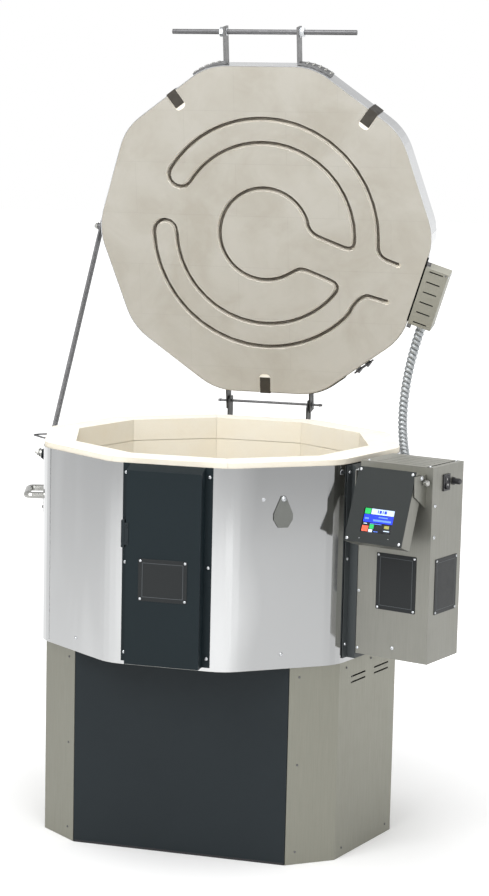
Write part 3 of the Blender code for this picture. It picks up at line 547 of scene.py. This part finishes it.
def lathe(profile, sides, closed_ends=True):
    verts, faces = [], []
    for x, r in profile:
        verts += [(x, r * cos(2 * pi * i / sides), r * sin(2 * pi * i / sides)) for i in range(sides)]
    for k in range(len(profile) - 1):
        for i in range(sides):
            j = (i + 1) % sides
            faces.append([k * sides + i, k * sides + j, (k + 1) * sides + j, (k + 1) * sides + i])
    if closed_ends:
        faces.append(list(range(sides))[::-1])
        last = (len(profile) - 1) * sides
        faces.append(list(range(last, last + sides)))
    return verts, faces


def sweep(points, radius, sides, closed=False, up=(0, 0, 1)):
    """radius may be a number or a function of (index, angle)."""
    pts = [Vector(p) for p in points]
    n = len(pts)
    tan_ = []
    for i in range(n):
        a = pts[(i - 1) % n] if closed or i > 0 else pts[i]
        b = pts[(i + 1) % n] if closed or i < n - 1 else pts[i]
        tan_.append((b - a).normalized())
    u = Vector(up)
    if abs(tan_[0].dot(u)) > 0.9:
        u = Vector((1, 0, 0))
    nrm = (u - tan_[0] * u.dot(tan_[0])).normalized()
    verts, faces = [], []
    for i in range(n):
        nrm = (nrm - tan_[i] * nrm.dot(tan_[i])).normalized()
        side = tan_[i].cross(nrm)
        for k in range(sides):
            a = 2 * pi * k / sides
            r = radius(i, a) if callable(radius) else radius
            verts.append(tuple(pts[i] + (nrm * cos(a) + side * sin(a)) * r))
    for i in range(n if closed else n - 1):
        for k in range(sides):
            a, b = i * sides + k, i * sides + (k + 1) % sides
            c, d = ((i + 1) % n) * sides + (k + 1) % sides, ((i + 1) % n) * sides + k
            faces.append([a, b, c, d])
    if not closed:
        faces.append(list(range(sides))[::-1])
        faces.append(list(range((n - 1) * sides, n * sides)))
    return verts, faces


def screw(M, r=0.15):
    """A pan-head screw with a cross recess; M puts local X on the outward normal."""
    sides = 16
    prof = [(0.0, r * 1.0), (0.03, r * 1.0), (r * 0.42, r * 0.88), (r * 0.60, r * 0.62), (r * 0.64, r * 0.50)]
    verts, faces = lathe(prof, sides, False)
    base = len(verts)
    for x, k in ((r * 0.62, 0.40), (r * 0.30, 0.30)):
        for i in range(sides):
            a = 2 * pi * i / sides
            rr = r * k * (1.0 if i % 4 in (0,) else (0.55 if i % 4 in (1, 3) else 0.35))
            verts.append((x, rr * cos(a), rr * sin(a)))
    for k in range(2):
        p = (len(prof) - 1) * sides if k == 0 else base
        q = base + k * sides
        for i in range(sides):
            j = (i + 1) % sides
            faces.append([p + i, p + j, q + j, q + i])
    faces.append(list(range(base + sides, base + 2 * sides)))
    return place((verts, faces), M)


def hexnut(M, r, h, bore=0.0):
    pts = [(r * cos(pi / 3 * k), r * sin(pi / 3 * k)) for k in range(6)]
    return place(prism_x(pts, 0, h), M)


def washer(M, r, h=0.05, sides=20):
    return place(lathe([(0, r), (h * 0.7, r), (h, r * 0.93)], sides), M)


# ------------------------------------------------------------------ decagon
T18 = tan(radians(18))

# ------------------------------------------------------------------ screws on the body of the kiln
S = []
S.append(washer(RZ(306) @ T(JACKET, -1.68, 29.18), 0.14, 0.03))
S.append(screw(RZ(306) @ T(JACKET, 0.02, 17.17), 0.14))
S.append(screw(RZ(234) @ T(JACKET, 0.27, 17.08), 0.14))
for a in (18, 54, 126, 162):
    for z in (17.1, 30.9):
        S.append(screw(RZ(a) @ T(JACKET, 0.1, z), 0.14))
v, f = join(*S)
build("jacket_screws", v, f, ZINC, smooth=True)
# the jacket's lap seam, on the flat left of the front cover
v, f = place(prism_x([(-3.62, 16.25), (-3.50, 16.25), (-3.50, 31.58), (-3.62, 31.58)], JACKET, JACKET + 0.035), RZ(234))
build("jacket_seam", v, f, MIRROR, bevel=0.008)

S = []
for y in (-3.28, 3.28):
    for z in (30.9, 24.0, 17.0):
        S.append(screw(RZ(270) @ T(FLANGE_N, y, z), 0.14))
v, f = join(*S)
build("cover_screws", v, f, ZINC, smooth=True)

S = []
for t in (-3.53, 3.53):
    for z in (30.96, 24.2, 17.5):
        S.append(screw(BOX @ T(FLANGE_N, t, z), 0.13))
v, f = join(*S)
build("backplate_screws", v, f, ZINC, smooth=True)

# ------------------------------------------------------------------ bare plate on the front cover
def plate(name, M, y0, y1, z0, z1, body="root", mat=None, th=0.04, screws=True, inset=0.16, r=0.10):
    shp = place(prism_x(rounded(y0, y1, z0, z1, 0.08), 0.004, th), M)
    build(name, *shp, mat or PLATE, body=body, bevel=0.012, seg=2)
    # a fine raised border
    bw = 0.035
    i0 = inset * 1.9
    bars = [block(th, th + 0.006, y0 + i0, y1 - i0, z0 + i0, z0 + i0 + bw), block(th, th + 0.006, y0 + i0, y1 - i0, z1 - i0 - bw, z1 - i0),
            block(th, th + 0.006, y0 + i0, y0 + i0 + bw, z0 + i0 + bw, z1 - i0 - bw), block(th, th + 0.006, y1 - i0 - bw, y1 - i0, z0 + i0 + bw, z1 - i0 - bw)]
    v, f = place(join(*bars), M)
    build(name + "_border", v, f, BORDER, body=body)
    if screws:
        s = [screw(M @ T(th, y, z), r) for y in (y0 + inset, y1 - inset) for z in (z0 + inset, z1 - inset)]
        v, f = join(*s)
        build(name + "_screws", v, f, ZINC, body=body, smooth=True)


BORDER = paint_material("plate_border", (0.075, 0.082, 0.088), 0.4)
plate("cover_plate", RZ(270) @ T(COVER_N, 0, 0), -1.9, 1.95, 21.3, 24.55)
plate("box_front_plate", BOX @ T(MID, T0, 0) @ RZ(-90), -1.46, 1.98, 20.6, 25.0)
plate("box_side_plate", BOX @ T(N1, 0, 0), -2.36, 1.08, 20.55, 24.85)

# ------------------------------------------------------------------ latch on the front cover's left edge
M = RZ(270)
shp = join(block(FLANGE_N, 15.36, -3.32, -3.05, 25.3, 27.4), block(15.3, 15.36, -3.05, -2.72, 25.5, 27.2))
v, f = place(shp, M)
build("cover_latch", v, f, DARK, bevel=0.03)
v, f = join(screw(M @ T(15.36, -2.88, 26.9), 0.09), screw(M @ T(15.36, -2.88, 25.8), 0.09))
build("latch_screws", v, f, DARK, smooth=True)

# ------------------------------------------------------------------ control box trim
S = []
for t, z in ((-2.75, 29.0), (-2.75, 26.6)):
    S.append(screw(BOX @ T(N1, t, z), 0.145))
for n, z, r in ((15.25, 21.8, 0.12), (15.25, 17.3, 0.12), (18.33, 17.7, 0.16)):
    S.append(screw(BOX @ T(n, T0, z) @ RZ(-90), r))
for n, z in ((15.45, 22.8), (15.45, 18.6), (20.9, 22.8)):
    S.append(screw(BOX @ T(n, T1, z) @ RZ(90), 0.12))
for n, t in ((20.9, -2.8), (20.9, 1.3), (15.6, -2.8)):
    S.append(screw(BOX @ T(n, t, Z1) @ RY(-90), 0.12))
v, f = join(*S)
build("box_screws", v, f, ZINC, smooth=True)
# a black card under the louvres: painted shadow seen through them
v, f = place(block(N0 + 0.8, N1 - 0.8, T0 + 0.15, T1 - 0.15, Z1 - 0.15, Z1 - 0.10), BOX)
build("box_louvre_shadow", v, f, SHADOW)
# the seam where the side sheet laps over the box's top, drawn black as painted shadow in the lap
v, f = place(block(20.77, 20.90, T0 + 0.03, T1 - 0.03, Z1 - 0.01, Z1 + 0.006), BOX)
build("box_seam_shadow", v, f, SHADOW)

# ------------------------------------------------------------------ head trim
S = []
for x in (-HW + 0.22, HW - 0.22):
    for z in (HT - 0.22, HT - HH + 0.22):
        S.append(screw(HEAD @ T(x, HF, z) @ RZ(-90), 0.13))
v, f = join(*S)
build("head_screws", v, f, ZINC, body="head", smooth=True)
S = [screw(HEAD @ T(x, HF, z) @ RZ(-90), 0.035) for x, z in ((-1.2, HT - 5.45), (1.25, HT - 5.3))]
v, f = join(*S)
build("head_leds", v, f, ZINC, body="head", smooth=True)

sx0, sx1, sz0, sz1 = -1.26, 1.34, HT - 4.94, HT - 3.07
sw, shh = sx1 - sx0, sz1 - sz0
yf = HF + 0.084


def tile(name, u0, u1, v0, v1, mat, proud=0.006):
    x0, x1 = sx0 + u0 * sw, sx0 + u1 * sw
    z1_, z0_ = sz1 - v0 * shh, sz1 - v1 * shh
    shp = place(block(x0, x1, yf - proud, yf, z0_, z1_), HEAD)
    build(name, *shp, mat, body="head")


GREEN = lit_material("tile_green", (0.01, 0.42, 0.09), 0.45)
PALE = lit_material("tile_pale", (0.50, 0.64, 0.90), 0.28)
BLUE = lit_material("tile_blue", (0.004, 0.030, 0.78), 0.5)
MIDBLUE = lit_material("tile_midblue", (0.10, 0.22, 0.85), 0.4)
RED = lit_material("tile_red", (0.72, 0.10, 0.05), 0.45)
SOFT = lit_material("tile_soft", (0.52, 0.62, 0.78), 0.45)
OLIVE = lit_material("tile_olive", (0.28, 0.27, 0.06), 0.35)
tile("screen_tile_run", 0.02, 0.215, 0.02, 0.25, GREEN)
tile("screen_tile_status", 0.235, 0.985, 0.02, 0.25, PALE)
for k, (u0, u1) in enumerate(((0.44, 0.47), (0.50, 0.57), (0.60, 0.63), (0.66, 0.74))):
    tile("screen_text_%d" % k, u0, u1, 0.075, 0.195, BLUE, 0.009)
tile("screen_band", 0.02, 0.985, 0.275, 0.585, BLUE)
tile("screen_band_bar_a", 0.50, 0.80, 0.33, 0.375, MIDBLUE, 0.009)
tile("screen_band_bar_b", 0.34, 0.93, 0.45, 0.53, MIDBLUE, 0.009)
tile("screen_band_bar_c", 0.06, 0.19, 0.40, 0.47, MIDBLUE, 0.009)
tile("screen_tile_go", 0.26, 0.40, 0.66, 0.84, GREEN)
tile("screen_tile_level", 0.74, 0.90, 0.66, 0.78, OLIVE)
tile("screen_tile_stop", 0.02, 0.225, 0.74, 0.97, RED)
tile("screen_tile_menu", 0.25, 0.375, 0.865, 0.985, SOFT)
tile("screen_line_a", 0.05, 0.16, 0.635, 0.665, SOFT)
tile("screen_line_b", 0.26, 0.64, 0.625, 0.645, MIDBLUE)
tile("screen_line_c", 0.74, 0.93, 0.86, 0.895, SOFT)
tile("screen_line_d", 0.42, 0.56, 0.93, 0.955, MIDBLUE)

# pivots of the head
for side, s in (("left", -1), ("right", 1)):
    M = BOX @ T(MID + s * (HW + 0.12), PIV_T, PIV_Z) @ (RZ(0) if s > 0 else RZ(180))
    parts_ = [washer(M, 0.19), screw(M @ T(0.04, 0, 0), 0.15)]
    if s < 0:
        parts_ = [washer(M, 0.26), hexnut(M @ T(0.05, 0, 0), 0.25, 0.24), place(lathe([(0.29, 0.15), (0.48, 0.15), (0.52, 0.11)], 14), M)]
    v, f = join(*parts_)
    build("head_pivot_" + side, v, f, ZINC, smooth=True)
a = radians(-50.0)
M = BOX @ T(MID - HW - 0.137, PIV_T + 0.5 * cos(a), PIV_Z + 0.5 * sin(a)) @ RZ(180)
v, f = join(washer(M, 0.19), place(lathe([(0.05, 0.20), (0.2, 0.22), (0.34, 0.22), (0.4, 0.17)], 16), M))
build("head_clamp_left", v, f, ZINC, body="head", smooth=True)

# marks on the rocker: a bar and a ring
RK = BOX @ T(N1 - 0.02, -1.1, 30.63) @ RY(-8)
ring = []
for k in range(20):
    b = 2 * pi * k / 20
    ring.append((0.175, 0.0 + 0.09 * cos(b), -0.23 + 0.09 * sin(b)))
v1 = sweep([(0.166, 0.085 * cos(2 * pi * k / 20), -0.23 + 0.085 * sin(2 * pi * k / 20)) for k in range(20)], 0.015, 6, True, (1, 0, 0))
v2 = block(0.155, 0.180, -0.014, 0.014, 0.14, 0.31)
v, f = place(join(v1, v2), RK)
build("rocker_marks", v, f, WHITE_MARK, body="rocker")

# ------------------------------------------------------------------ peephole pivot
M = RZ(306) @ T(14.4, -0.1, 29.2)
v, f = join(washer(M, 0.2), screw(M @ T(0.04, 0, 0), 0.16))
build("peephole_pivot", v, f, ZINC, smooth=True)

# ------------------------------------------------------------------ stand screws
half = [(8.76, 1.34 - 11.47), (12.14, 1.34 - 8.94), (14.76, 1.34)]
S = []
for s in (1, -1):
    A, B = Vector((half[1][0], half[1][1])), Vector((half[2][0], half[2][1]))
    d = (B - A).normalized()
    ang = degrees(atan2(-d.x, d.y))
    for k, z in ((0.12, 15.3), (0.55, 15.3), (0.9, 15.3), (0.12, 0.7), (0.9, 0.7)):
        p = A.lerp(B, k)
        M = T(p.x, p.y, z) @ RZ(ang)
        if s < 0:
            M = T(-p.x, p.y, z) @ RZ(180 - ang)
        S.append(screw(M, 0.09))
    A, B = Vector((half[0][0], half[0][1])), Vector((half[1][0], half[1][1]))
    d = (B - A).normalized()
    ang = degrees(atan2(-d.x, d.y))
    for z in (15.0, 8.0, 1.0):
        p = A.lerp(B, 0.2)
        M = T(p.x, p.y, z) @ RZ(ang)
        if s < 0:
            M = T(-p.x, p.y, z) @ RZ(180 - ang)
        S.append(screw(M, 0.09))
v, f = join(*S)
build("stand_screws", v, f, STEEL, smooth=True)

# ------------------------------------------------------------------ lid: handle nuts, hinge nuts, clamp, screws
ROD = LZ + 1.2
ROD_Y = -16.90
S = []
for s in (-1, 1):
    base = LID @ T(s * (3.2 + 0.095), ROD_Y, ROD) @ (RZ(0) if s > 0 else RZ(180))
    S.append(washer(base, 0.44, 0.06))
    S.append(hexnut(base @ T(0.06, 0, 0) @ RX(12), 0.41, 0.32))
    inner = LID @ T(s * (3.2 - 0.095), ROD_Y, ROD) @ (RZ(180) if s > 0 else RZ(0))
    S.append(washer(inner, 0.34, 0.05))
v, f = join(*S)
build("handle_nuts", v, f, ZINC, body="lid", bevel=0.03, seg=3, smooth=True)

S = []
for s in (-1, 1):
    M = T(s * 3.86, HY, HZ) @ (RZ(0) if s > 0 else RZ(180))
    S.append(washer(M, 0.26, 0.05))
    S.append(hexnut(M @ T(0.62, 0, 0), 0.15, 0.12))
v, f = join(*S)
build("hinge_nuts", v, f, STEEL, bevel=0.015, smooth=True)

# a bar follows the corner of the band: centre of the corner and the bars' outer radii
CY = 14.235 - 5.05
CX = CY * T18
R_STRAP, R_ARM = 5.064 + 0.12, 5.064 + 0.19
S, P = [], []
for s in (-1, 1):
    for b in (57.0, 64.0, 71.0):
        x, y = CX + R_STRAP * cos(radians(b)), CY + R_STRAP * sin(radians(b))
        S.append(screw(LID @ T(s * x, y, LZ + 1.07) @ RZ(b if s > 0 else 180 - b), 0.12))
    for b in (56.0, 62.0, 68.0, 74.0, 80.0):
        x, y = CX + R_ARM * cos(radians(b)), CY + R_ARM * sin(radians(b))
        for dz in (0.93, 1.47):
            P.append(screw(LID @ T(s * x, -y, LZ + dz) @ RZ(-b if s > 0 else b - 180), 0.13))
v, f = join(*S)
build("lid_strap_screws", v, f, ZINC, body="lid", smooth=True)
v, f = join(*P)
build("handle_arm_screws", v, f, DULLZINC, body="lid", smooth=True)

# the band's clamp, low on the right: two ears drawn together by a bolt
M = LID @ RZ(54)
ears = join(block(14.235, 14.28, -1.35, -0.45, LZ + 0.35, LZ + 1.85), block(14.235, 14.28, 0.45, 1.35, LZ + 0.35, LZ + 1.85),
            block(14.28, 14.72, -0.52, -0.45, LZ + 0.45, LZ + 1.75), block(14.28, 14.72, 0.45, 0.52, LZ + 0.45, LZ + 1.75))
v, f = place(ears, M)
build("band_clamp_ears", v, f, STEEL, body="lid", bevel=0.015)
b = []
for z in (LZ + 0.8, LZ + 1.4):
    b.append(place(lathe([(-0.95, 0.075), (0.95, 0.075)], 12), M @ T(14.52, 0, z) @ RZ(90)))
    b.append(hexnut(M @ T(14.52, 0.52, z) @ RZ(90), 0.15, 0.13))
    b.append(hexnut(M @ T(14.52, -0.52, z) @ RZ(-90), 0.15, 0.13))
v, f = join(*b)
build("band_clamp_bolts", v, f, STEEL, body="lid", smooth=True)

# ------------------------------------------------------------------ terminal box trim
TB = LID @ RZ(18)
S = []
for t in (-1.7, 2.85):
    S.append(screw(TB @ T(16.3, t, LZ + 0.4), 0.10))
    S.append(screw(TB @ T(16.3, t, LZ + 1.6), 0.10))
v, f = join(*S)
build("terminal_screws", v, f, ZINC, body="lid", smooth=True)
v, f = screw(TB @ T(16.1, -1.87, LZ) @ RY(90), 0.08)
build("terminal_vent_screw", v, f, STEEL, body="lid", smooth=True)
# a black card inside, behind the vents: painted shadow seen through them
v, f = place(block(14.36, 16.21, -1.93, 3.06, LZ + 0.12, LZ + 0.18), TB)
build("terminal_vent_shadow", v, f, SHADOW, body="lid")
# black strips along the edge of the lid's face and behind the box: painted shadow in the gap between them; then the
# box's two tabs
v, f = place(join(block(14.13, 14.266, -2.9, 2.95, LZ - 0.012, LZ + 0.05), block(14.25, 14.262, -2.0, 2.95, LZ + 0.02, LZ + 1.9)), TB)
build("terminal_edge_shadow", v, f, SHADOW, body="lid")
tabs = []
for t in (-2.34, 3.33):
    tabs.append(block(14.27, 14.62, t - 0.16, t + 0.16, LZ + 0.02, LZ + 0.10))
    tabs.append(screw(T(14.47, t, LZ + 0.02) @ RY(90), 0.11))
v, f = place(join(*tabs), TB)
build("terminal_tabs", v, f, STEEL, body="lid")

# ------------------------------------------------------------------ heating elements as coiled wire
def arc(r, a0, a1, step=4.0):
    n = max(2, int(abs(a1 - a0) / step + 0.5))
    return [(r * cos(radians(a0 + (a1 - a0) * i / n)), r * sin(radians(a0 + (a1 - a0) * i / n))) for i in range(n + 1)]


def turn(r, a, rad, direction, n=12):
    cx, cy = r * cos(radians(a)), r * sin(radians(a))
    start = a if direction > 0 else a + 180
    return [(cx + rad * cos(radians(start + 180 * i / n)), cy + rad * sin(radians(start + 180 * i / n))) for i in range(1, n)]


def bend(p, q, r, n=8):
    return [((1 - t) ** 2 * p[0] + 2 * t * (1 - t) * q[0] + t * t * r[0], (1 - t) ** 2 * p[1] + 2 * t * (1 - t) * q[1] + t * t * r[1])
            for t in [i / n for i in range(n + 1)]]


R1, R2, R3 = 9.95, 7.9, 4.0
RM, RU = (R1 + R2) / 2, (R1 - R2) / 2


def element_route():
    path = [(11.7, -2.25)]
    path += bend((10.75, -1.9), (9.95, -1.6), (9.93, -0.75))
    path += arc(R1, -2, 146)
    path += turn(RM, 146, RU, 1)
    path += arc(R2, 146, -1)
    path += bend((7.86, -0.45), (7.8, -1.2), (6.95, -0.9))
    path += bend((4.85, -0.1), (4.05, 0.2), (3.8, 1.0))
    path += arc(R3, 18, 302)
    path += bend((2.75, -3.05), (3.2, -2.85), (3.75, -3.05))
    path += bend((5.7, -3.8), (6.75, -4.2), (6.1, -5.0))
    path += arc(R2, -41, -180)
    path += turn(RM, 180, RU, -1)
    path += arc(R1, -180, -46)
    path += bend((7.35, -6.65), (8.05, -5.2), (9.0, -5.05))
    path += [(10.7, -5.5)]
    return [(x + 0.1, -(y - 0.15)) for x, y in path]


def resample(points, step, closed=False):
    pts = [Vector(p) for p in points]
    if closed:
        pts = pts + [pts[0]]
    out, carry = [pts[0]], 0.0
    for a, b in zip(pts, pts[1:]):
        d = (b - a).length
        if d < 1e-6:
            continue
        s = step - carry
        while s <= d:
            out.append(a.lerp(b, s / d))
            s += step
        carry = d - (s - step)
    return out


def coil(points, coil_r, wire_r, pitch, per_turn=8, sides=5, closed=False):
    """A helix of wire wound round the path."""
    base = resample(points, pitch / per_turn, closed)
    n = len(base)
    helix = []
    for i in range(n):
        a, b = base[max(i - 1, 0)], base[min(i + 1, n - 1)]
        t = (b - a).normalized()
        side = t.cross(Vector((0, 0, 1))).normalized()
        ang = 2 * pi * i / per_turn
        helix.append(base[i] + side * (coil_r * cos(ang)) + Vector((0, 0, 1)) * (coil_r * sin(ang)))
    return sweep(helix, wire_r, sides)


pts = [(x, y, LZ + 0.34) for x, y in element_route()]
v, f = place(coil(pts, 0.108, 0.030, 0.10, 7, 4), LID)
el = build("lid_element_coil", v, f, ELEMENT, body="lid", smooth=True, sharp=180)
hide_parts("lid_element")

for key, z in (("upper", 30.15), ("lower", 23.0)):
    r = 12.1575 / cos(radians(18))
    z = z - 0.19
    ring_pts = []
    for k in range(10):
        a0 = Vector((r * cos(radians(36 * k)), r * sin(radians(36 * k)), z))
        b0 = Vector((r * cos(radians(36 * k + 36)), r * sin(radians(36 * k + 36)), z))
        ring_pts += [a0.lerp(b0, 0.05), a0.lerp(b0, 0.95)]
    v, f = coil(ring_pts, 0.15, 0.04, 0.15, 7, 4, True)
    el = build("chamber_coil_" + key, v, f, ELEMENT, smooth=True, sharp=180)
    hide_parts("chamber_element_" + key)

# a low lip of brick in the mouth of each wall groove
for key, z in (("upper", 30.15), ("lower", 23.0)):
    lip = []
    for r_ in (11.74, 11.86):
        r = r_ / cos(radians(18))
        for zz in (z - 0.058, z + 0.02):
            lip += [(r * cos(radians(36 * k)), r * sin(radians(36 * k)), zz) for k in range(10)]
    f = []
    for i in range(10):
        j = (i + 1) % 10
        f += [[i, j, 10 + j, 10 + i], [20 + j, 20 + i, 30 + i, 30 + j], [10 + i, 10 + j, 30 + j, 30 + i], [j, i, 20 + i, 20 + j]]
    build("groove_lip_" + key, lip, f, BRICK)

# ------------------------------------------------------------------ flexible conduit with its end fittings
foot = BOX @ Vector((16.0, T1 + 0.014, 26.13))
ed = BOX.to_3x3() @ Vector((0, 1, 0))


def on_flat(r, s, behind):
    """A point by the lid's edge: out from its centre, along the 18 degree flat, behind the face."""
    return LID @ (RZ(18) @ Vector((r, s, LZ + behind)))


mouth = on_flat(15.4, 3.17, 1.0)
heading = (on_flat(15.4, 4.2, 1.0) - mouth).normalized()
foot_in = foot + ed * 0.8
mouth_in = mouth + heading * 0.5
PA = foot_in + ed * 7.13
PB = mouth_in + heading * 14.04
path = [foot]
for i in range(121):
    t = i / 120
    path.append(foot_in * (1 - t) ** 3 + PA * 3 * t * (1 - t) ** 2 + PB * 3 * t * t * (1 - t) + mouth_in * t ** 3)
path.append(mouth)
PITCH_C = 0.43
rings = resample(path, PITCH_C / 12)


def rib(i, a):
    ph = (i / 12.0 + a / (2 * pi)) % 1.0
    return 0.41 - 0.10 * abs(cos(pi * ph)) ** 5


v, f = sweep(rings, rib, 20)
cond = build("conduit_ribbed", v, f, CONDUIT, body=None, smooth=True, sharp=180)
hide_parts("lid_conduit")
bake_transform(cond)


def valley_shade_line(points, r, per_turn):
    """The line that runs along the bottom of the helical valley, for a dark strip of painted shade."""
    n = len(points)
    tans = [(points[min(i + 1, n - 1)] - points[max(i - 1, 0)]).normalized() for i in range(n)]
    u = Vector((0, 0, 1)) if abs(tans[0].z) <= 0.9 else Vector((1, 0, 0))
    nrm = (u - tans[0] * u.dot(tans[0])).normalized()
    out = []
    for i in range(n):
        nrm = (nrm - tans[i] * nrm.dot(tans[i])).normalized()
        side = tans[i].cross(nrm)
        a = -2 * pi * i / per_turn
        out.append(points[i] + (nrm * cos(a) + side * sin(a)) * r)
    return out


# painted shade: a thin dark tube laid along the valley darkens it
v, f = sweep(valley_shade_line(rings, 0.315, 12), 0.035, 6)
valley_shade = build("conduit_valley_shade_strip", v, f, VALLEY_SHADE, body=None, smooth=True, sharp=180)
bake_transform(valley_shade)

# fittings: a lock nut, a clamping sleeve and its screw at the box, a short ferrule at the lid
def along(origin, direction):
    """Local X along direction."""
    return T(*origin) @ direction.to_track_quat("X", "Z").to_matrix().to_4x4()


M = along(mouth - heading * 0.02, heading)
v, f = join(hexnut(M, 0.52, 0.07), place(lathe([(0.07, 0.44), (0.10, 0.47), (0.24, 0.47), (0.27, 0.44)], 24), M))
build("conduit_fitting_lid", v, f, CONDUIT, body="lid", smooth=True, bevel=0.012)
M = along(foot - ed * 0.014, ed)
v, f = join(hexnut(M, 0.62, 0.16), place(lathe([(0.16, 0.50), (0.20, 0.53), (0.62, 0.53), (0.66, 0.49), (0.68, 0.44)], 24), M))
build("conduit_fitting_box", v, f, ZINC, smooth=True, bevel=0.015)
v, f = screw(M @ T(0.42, 0, 0) @ RZ(-90) @ T(0.52, 0, 0), 0.11)
build("conduit_fitting_box_screw", v, f, ZINC, smooth=True)

# ------------------------------------------------------------------ brace trim
B_B = 1.6
lb = LID @ Vector((-15.20, 0.2, LZ + B_B))
reach = sqrt((lb.y - HY) ** 2 + (lb.z - HZ) ** 2)
anchor = Vector((-15.20, HY - sqrt(reach ** 2 - (HZ - 29.7) ** 2), 29.7))
M = T(-15.92, anchor.y, anchor.z) @ RZ(180)
v, f = join(hexnut(M, 0.30, 0.26), place(lathe([(0.0, 0.37), (0.03, 0.37), (0.05, 0.34)], 20), M))
build("brace_anchor_nut", v, f, DULLZINC, bevel=0.02, seg=3, smooth=True)
# a bent wire hook above the anchor, which holds the brace when the lid is taken off
hook = [(-14.80, -0.17, 31.38), (-15.2, -0.30, 31.39), (-15.6, -0.50, 31.37)]
for k in range(9):
    b = radians(60 - 120 * k / 8)
    hook.append((-15.84 - 0.16 * cos(b), -0.70 + 0.18 * sin(b), 31.32))
hook += [(-15.6, -0.90, 31.26), (-15.2, -1.06, 31.2), (-14.76, -1.16, 31.16)]
v, f = sweep(hook, 0.075, 10, False, (0, 0, 1))
build("brace_hook", v, f, STEEL, smooth=True, sharp=180)
M = LID @ T(-15.50, 0.2, LZ + B_B) @ RZ(180)
v, f = join(washer(M, 0.33, 0.05), hexnut(M @ T(0.05, 0, 0), 0.27, 0.2))
build("brace_lid_nut", v, f, DULLZINC, body="lid", bevel=0.015, smooth=True)
# screws that hold the anchor bracket
S = [screw(T(-14.93, anchor.y + dy, 29.15) @ RZ(180), 0.10) for dy in (-0.75, 0.0)]
v, f = join(*S)
build("anchor_screws", v, f, ZINC, smooth=True)

# ------------------------------------------------------------------ side handle screws
S = [screw(RZ(198) @ T(14.355, t, 26.95 - 0.6 + 0.0), 0.13) for t in (-2.05, -0.7, 0.7, 2.05)]
v, f = join(*S)
build("side_handle_screws", v, f, STEEL, smooth=True)

# ------------------------------------------------------------------ hinge bracket screws
S = []
for s in (-1, 1):
    for z in (27.3, 29.0, 30.7):
        S.append(screw(RZ(90) @ T(14.375, s * 2.95, z), 0.15))
v, f = join(*S)
build("hinge_bracket_screws", v, f, ZINC, smooth=True)

# ------------------------------------------------------------------ black edge trim along the foot of the stand's front
v, f = block(-8.66, 8.66, -10.16, -10.125, 0.0, 0.16)
build("front_foot_trim", v, f, PLASTIC, bevel=0.01)

# ------------------------------------------------------------------ floor, light
me = bpy.data.meshes.new("floor")
me.from_pydata([(-40, -40, 0), (40, -40, 0), (40, 40, 0), (-40, 40, 0)], [], [(0, 1, 2, 3)])
floor = bpy.data.objects.new("floor", me)
bpy.context.scene.collection.objects.link(floor)
fm = Mat("floor", (0.93, 0.93, 0.93), 0.9)
fm.p.inputs["Emission Color"].default_value = (1, 1, 1, 1)
# the floor glows a little towards the back, so that it fades into the sky
fy = fm.xyz(fm.coords())["Y"]
fm.link(fm.map(fy, -0.2, 1.6, 0.05, 0.62), fm.p.inputs["Emission Strength"])
fm.p.inputs["Specular IOR Level"].default_value = 0.0
me.materials.append(fm.m)
floor.location.z = -0.0005

# a soft studio sky: white at the horizon, greyer overhead
world = bpy.data.worlds.new("studio")
world.use_nodes = True
bpy.context.scene.world = world
nt = world.node_tree
bg = nt.nodes["Background"]
tc = nt.nodes.new("ShaderNodeTexCoord")
sep = nt.nodes.new("ShaderNodeSeparateXYZ")
mr = nt.nodes.new("ShaderNodeMapRange")
mr.inputs["From Min"].default_value = 0.12
mr.inputs["From Max"].default_value = 0.50
mr.inputs["To Min"].default_value = 1.0
mr.inputs["To Max"].default_value = 0.62
nt.links.new(tc.outputs["Generated"], sep.inputs["Vector"])
nt.links.new(sep.outputs["Z"], mr.inputs["Value"])
nt.links.new(mr.outputs["Result"], bg.inputs["Color"])
bg.inputs["Strength"].default_value = 1.0


def area(name, loc, target, size, power, color=(1, 1, 1)):
    d = bpy.data.lights.new(name, "AREA")
    d.shape = "RECTANGLE"
    d.size, d.size_y = size
    d.energy = power
    d.color = color
    o = bpy.data.objects.new(name, d)
    o.location = loc
    o.rotation_euler = (Vector(target) - Vector(loc)).to_track_quat("-Z", "Y").to_euler()
    bpy.context.scene.collection.objects.link(o)
    return o


area("key", (-1.4, -3.4, 3.4), (0, 0, 0.8), (2.6, 2.6), 95)
area("fill", (2.2, -3.6, 2.0), (0, 0, 0.7), (2.0, 2.4), 45)
area("top", (0.2, -0.9, 3.8), (0, 0.0, 0.7), (1.8, 1.8), 40)

vs = bpy.context.scene.view_settings
vs.view_transform = "Standard"
vs.look = "None"
vs.exposure = 0.0
vs.gamma = 1.0
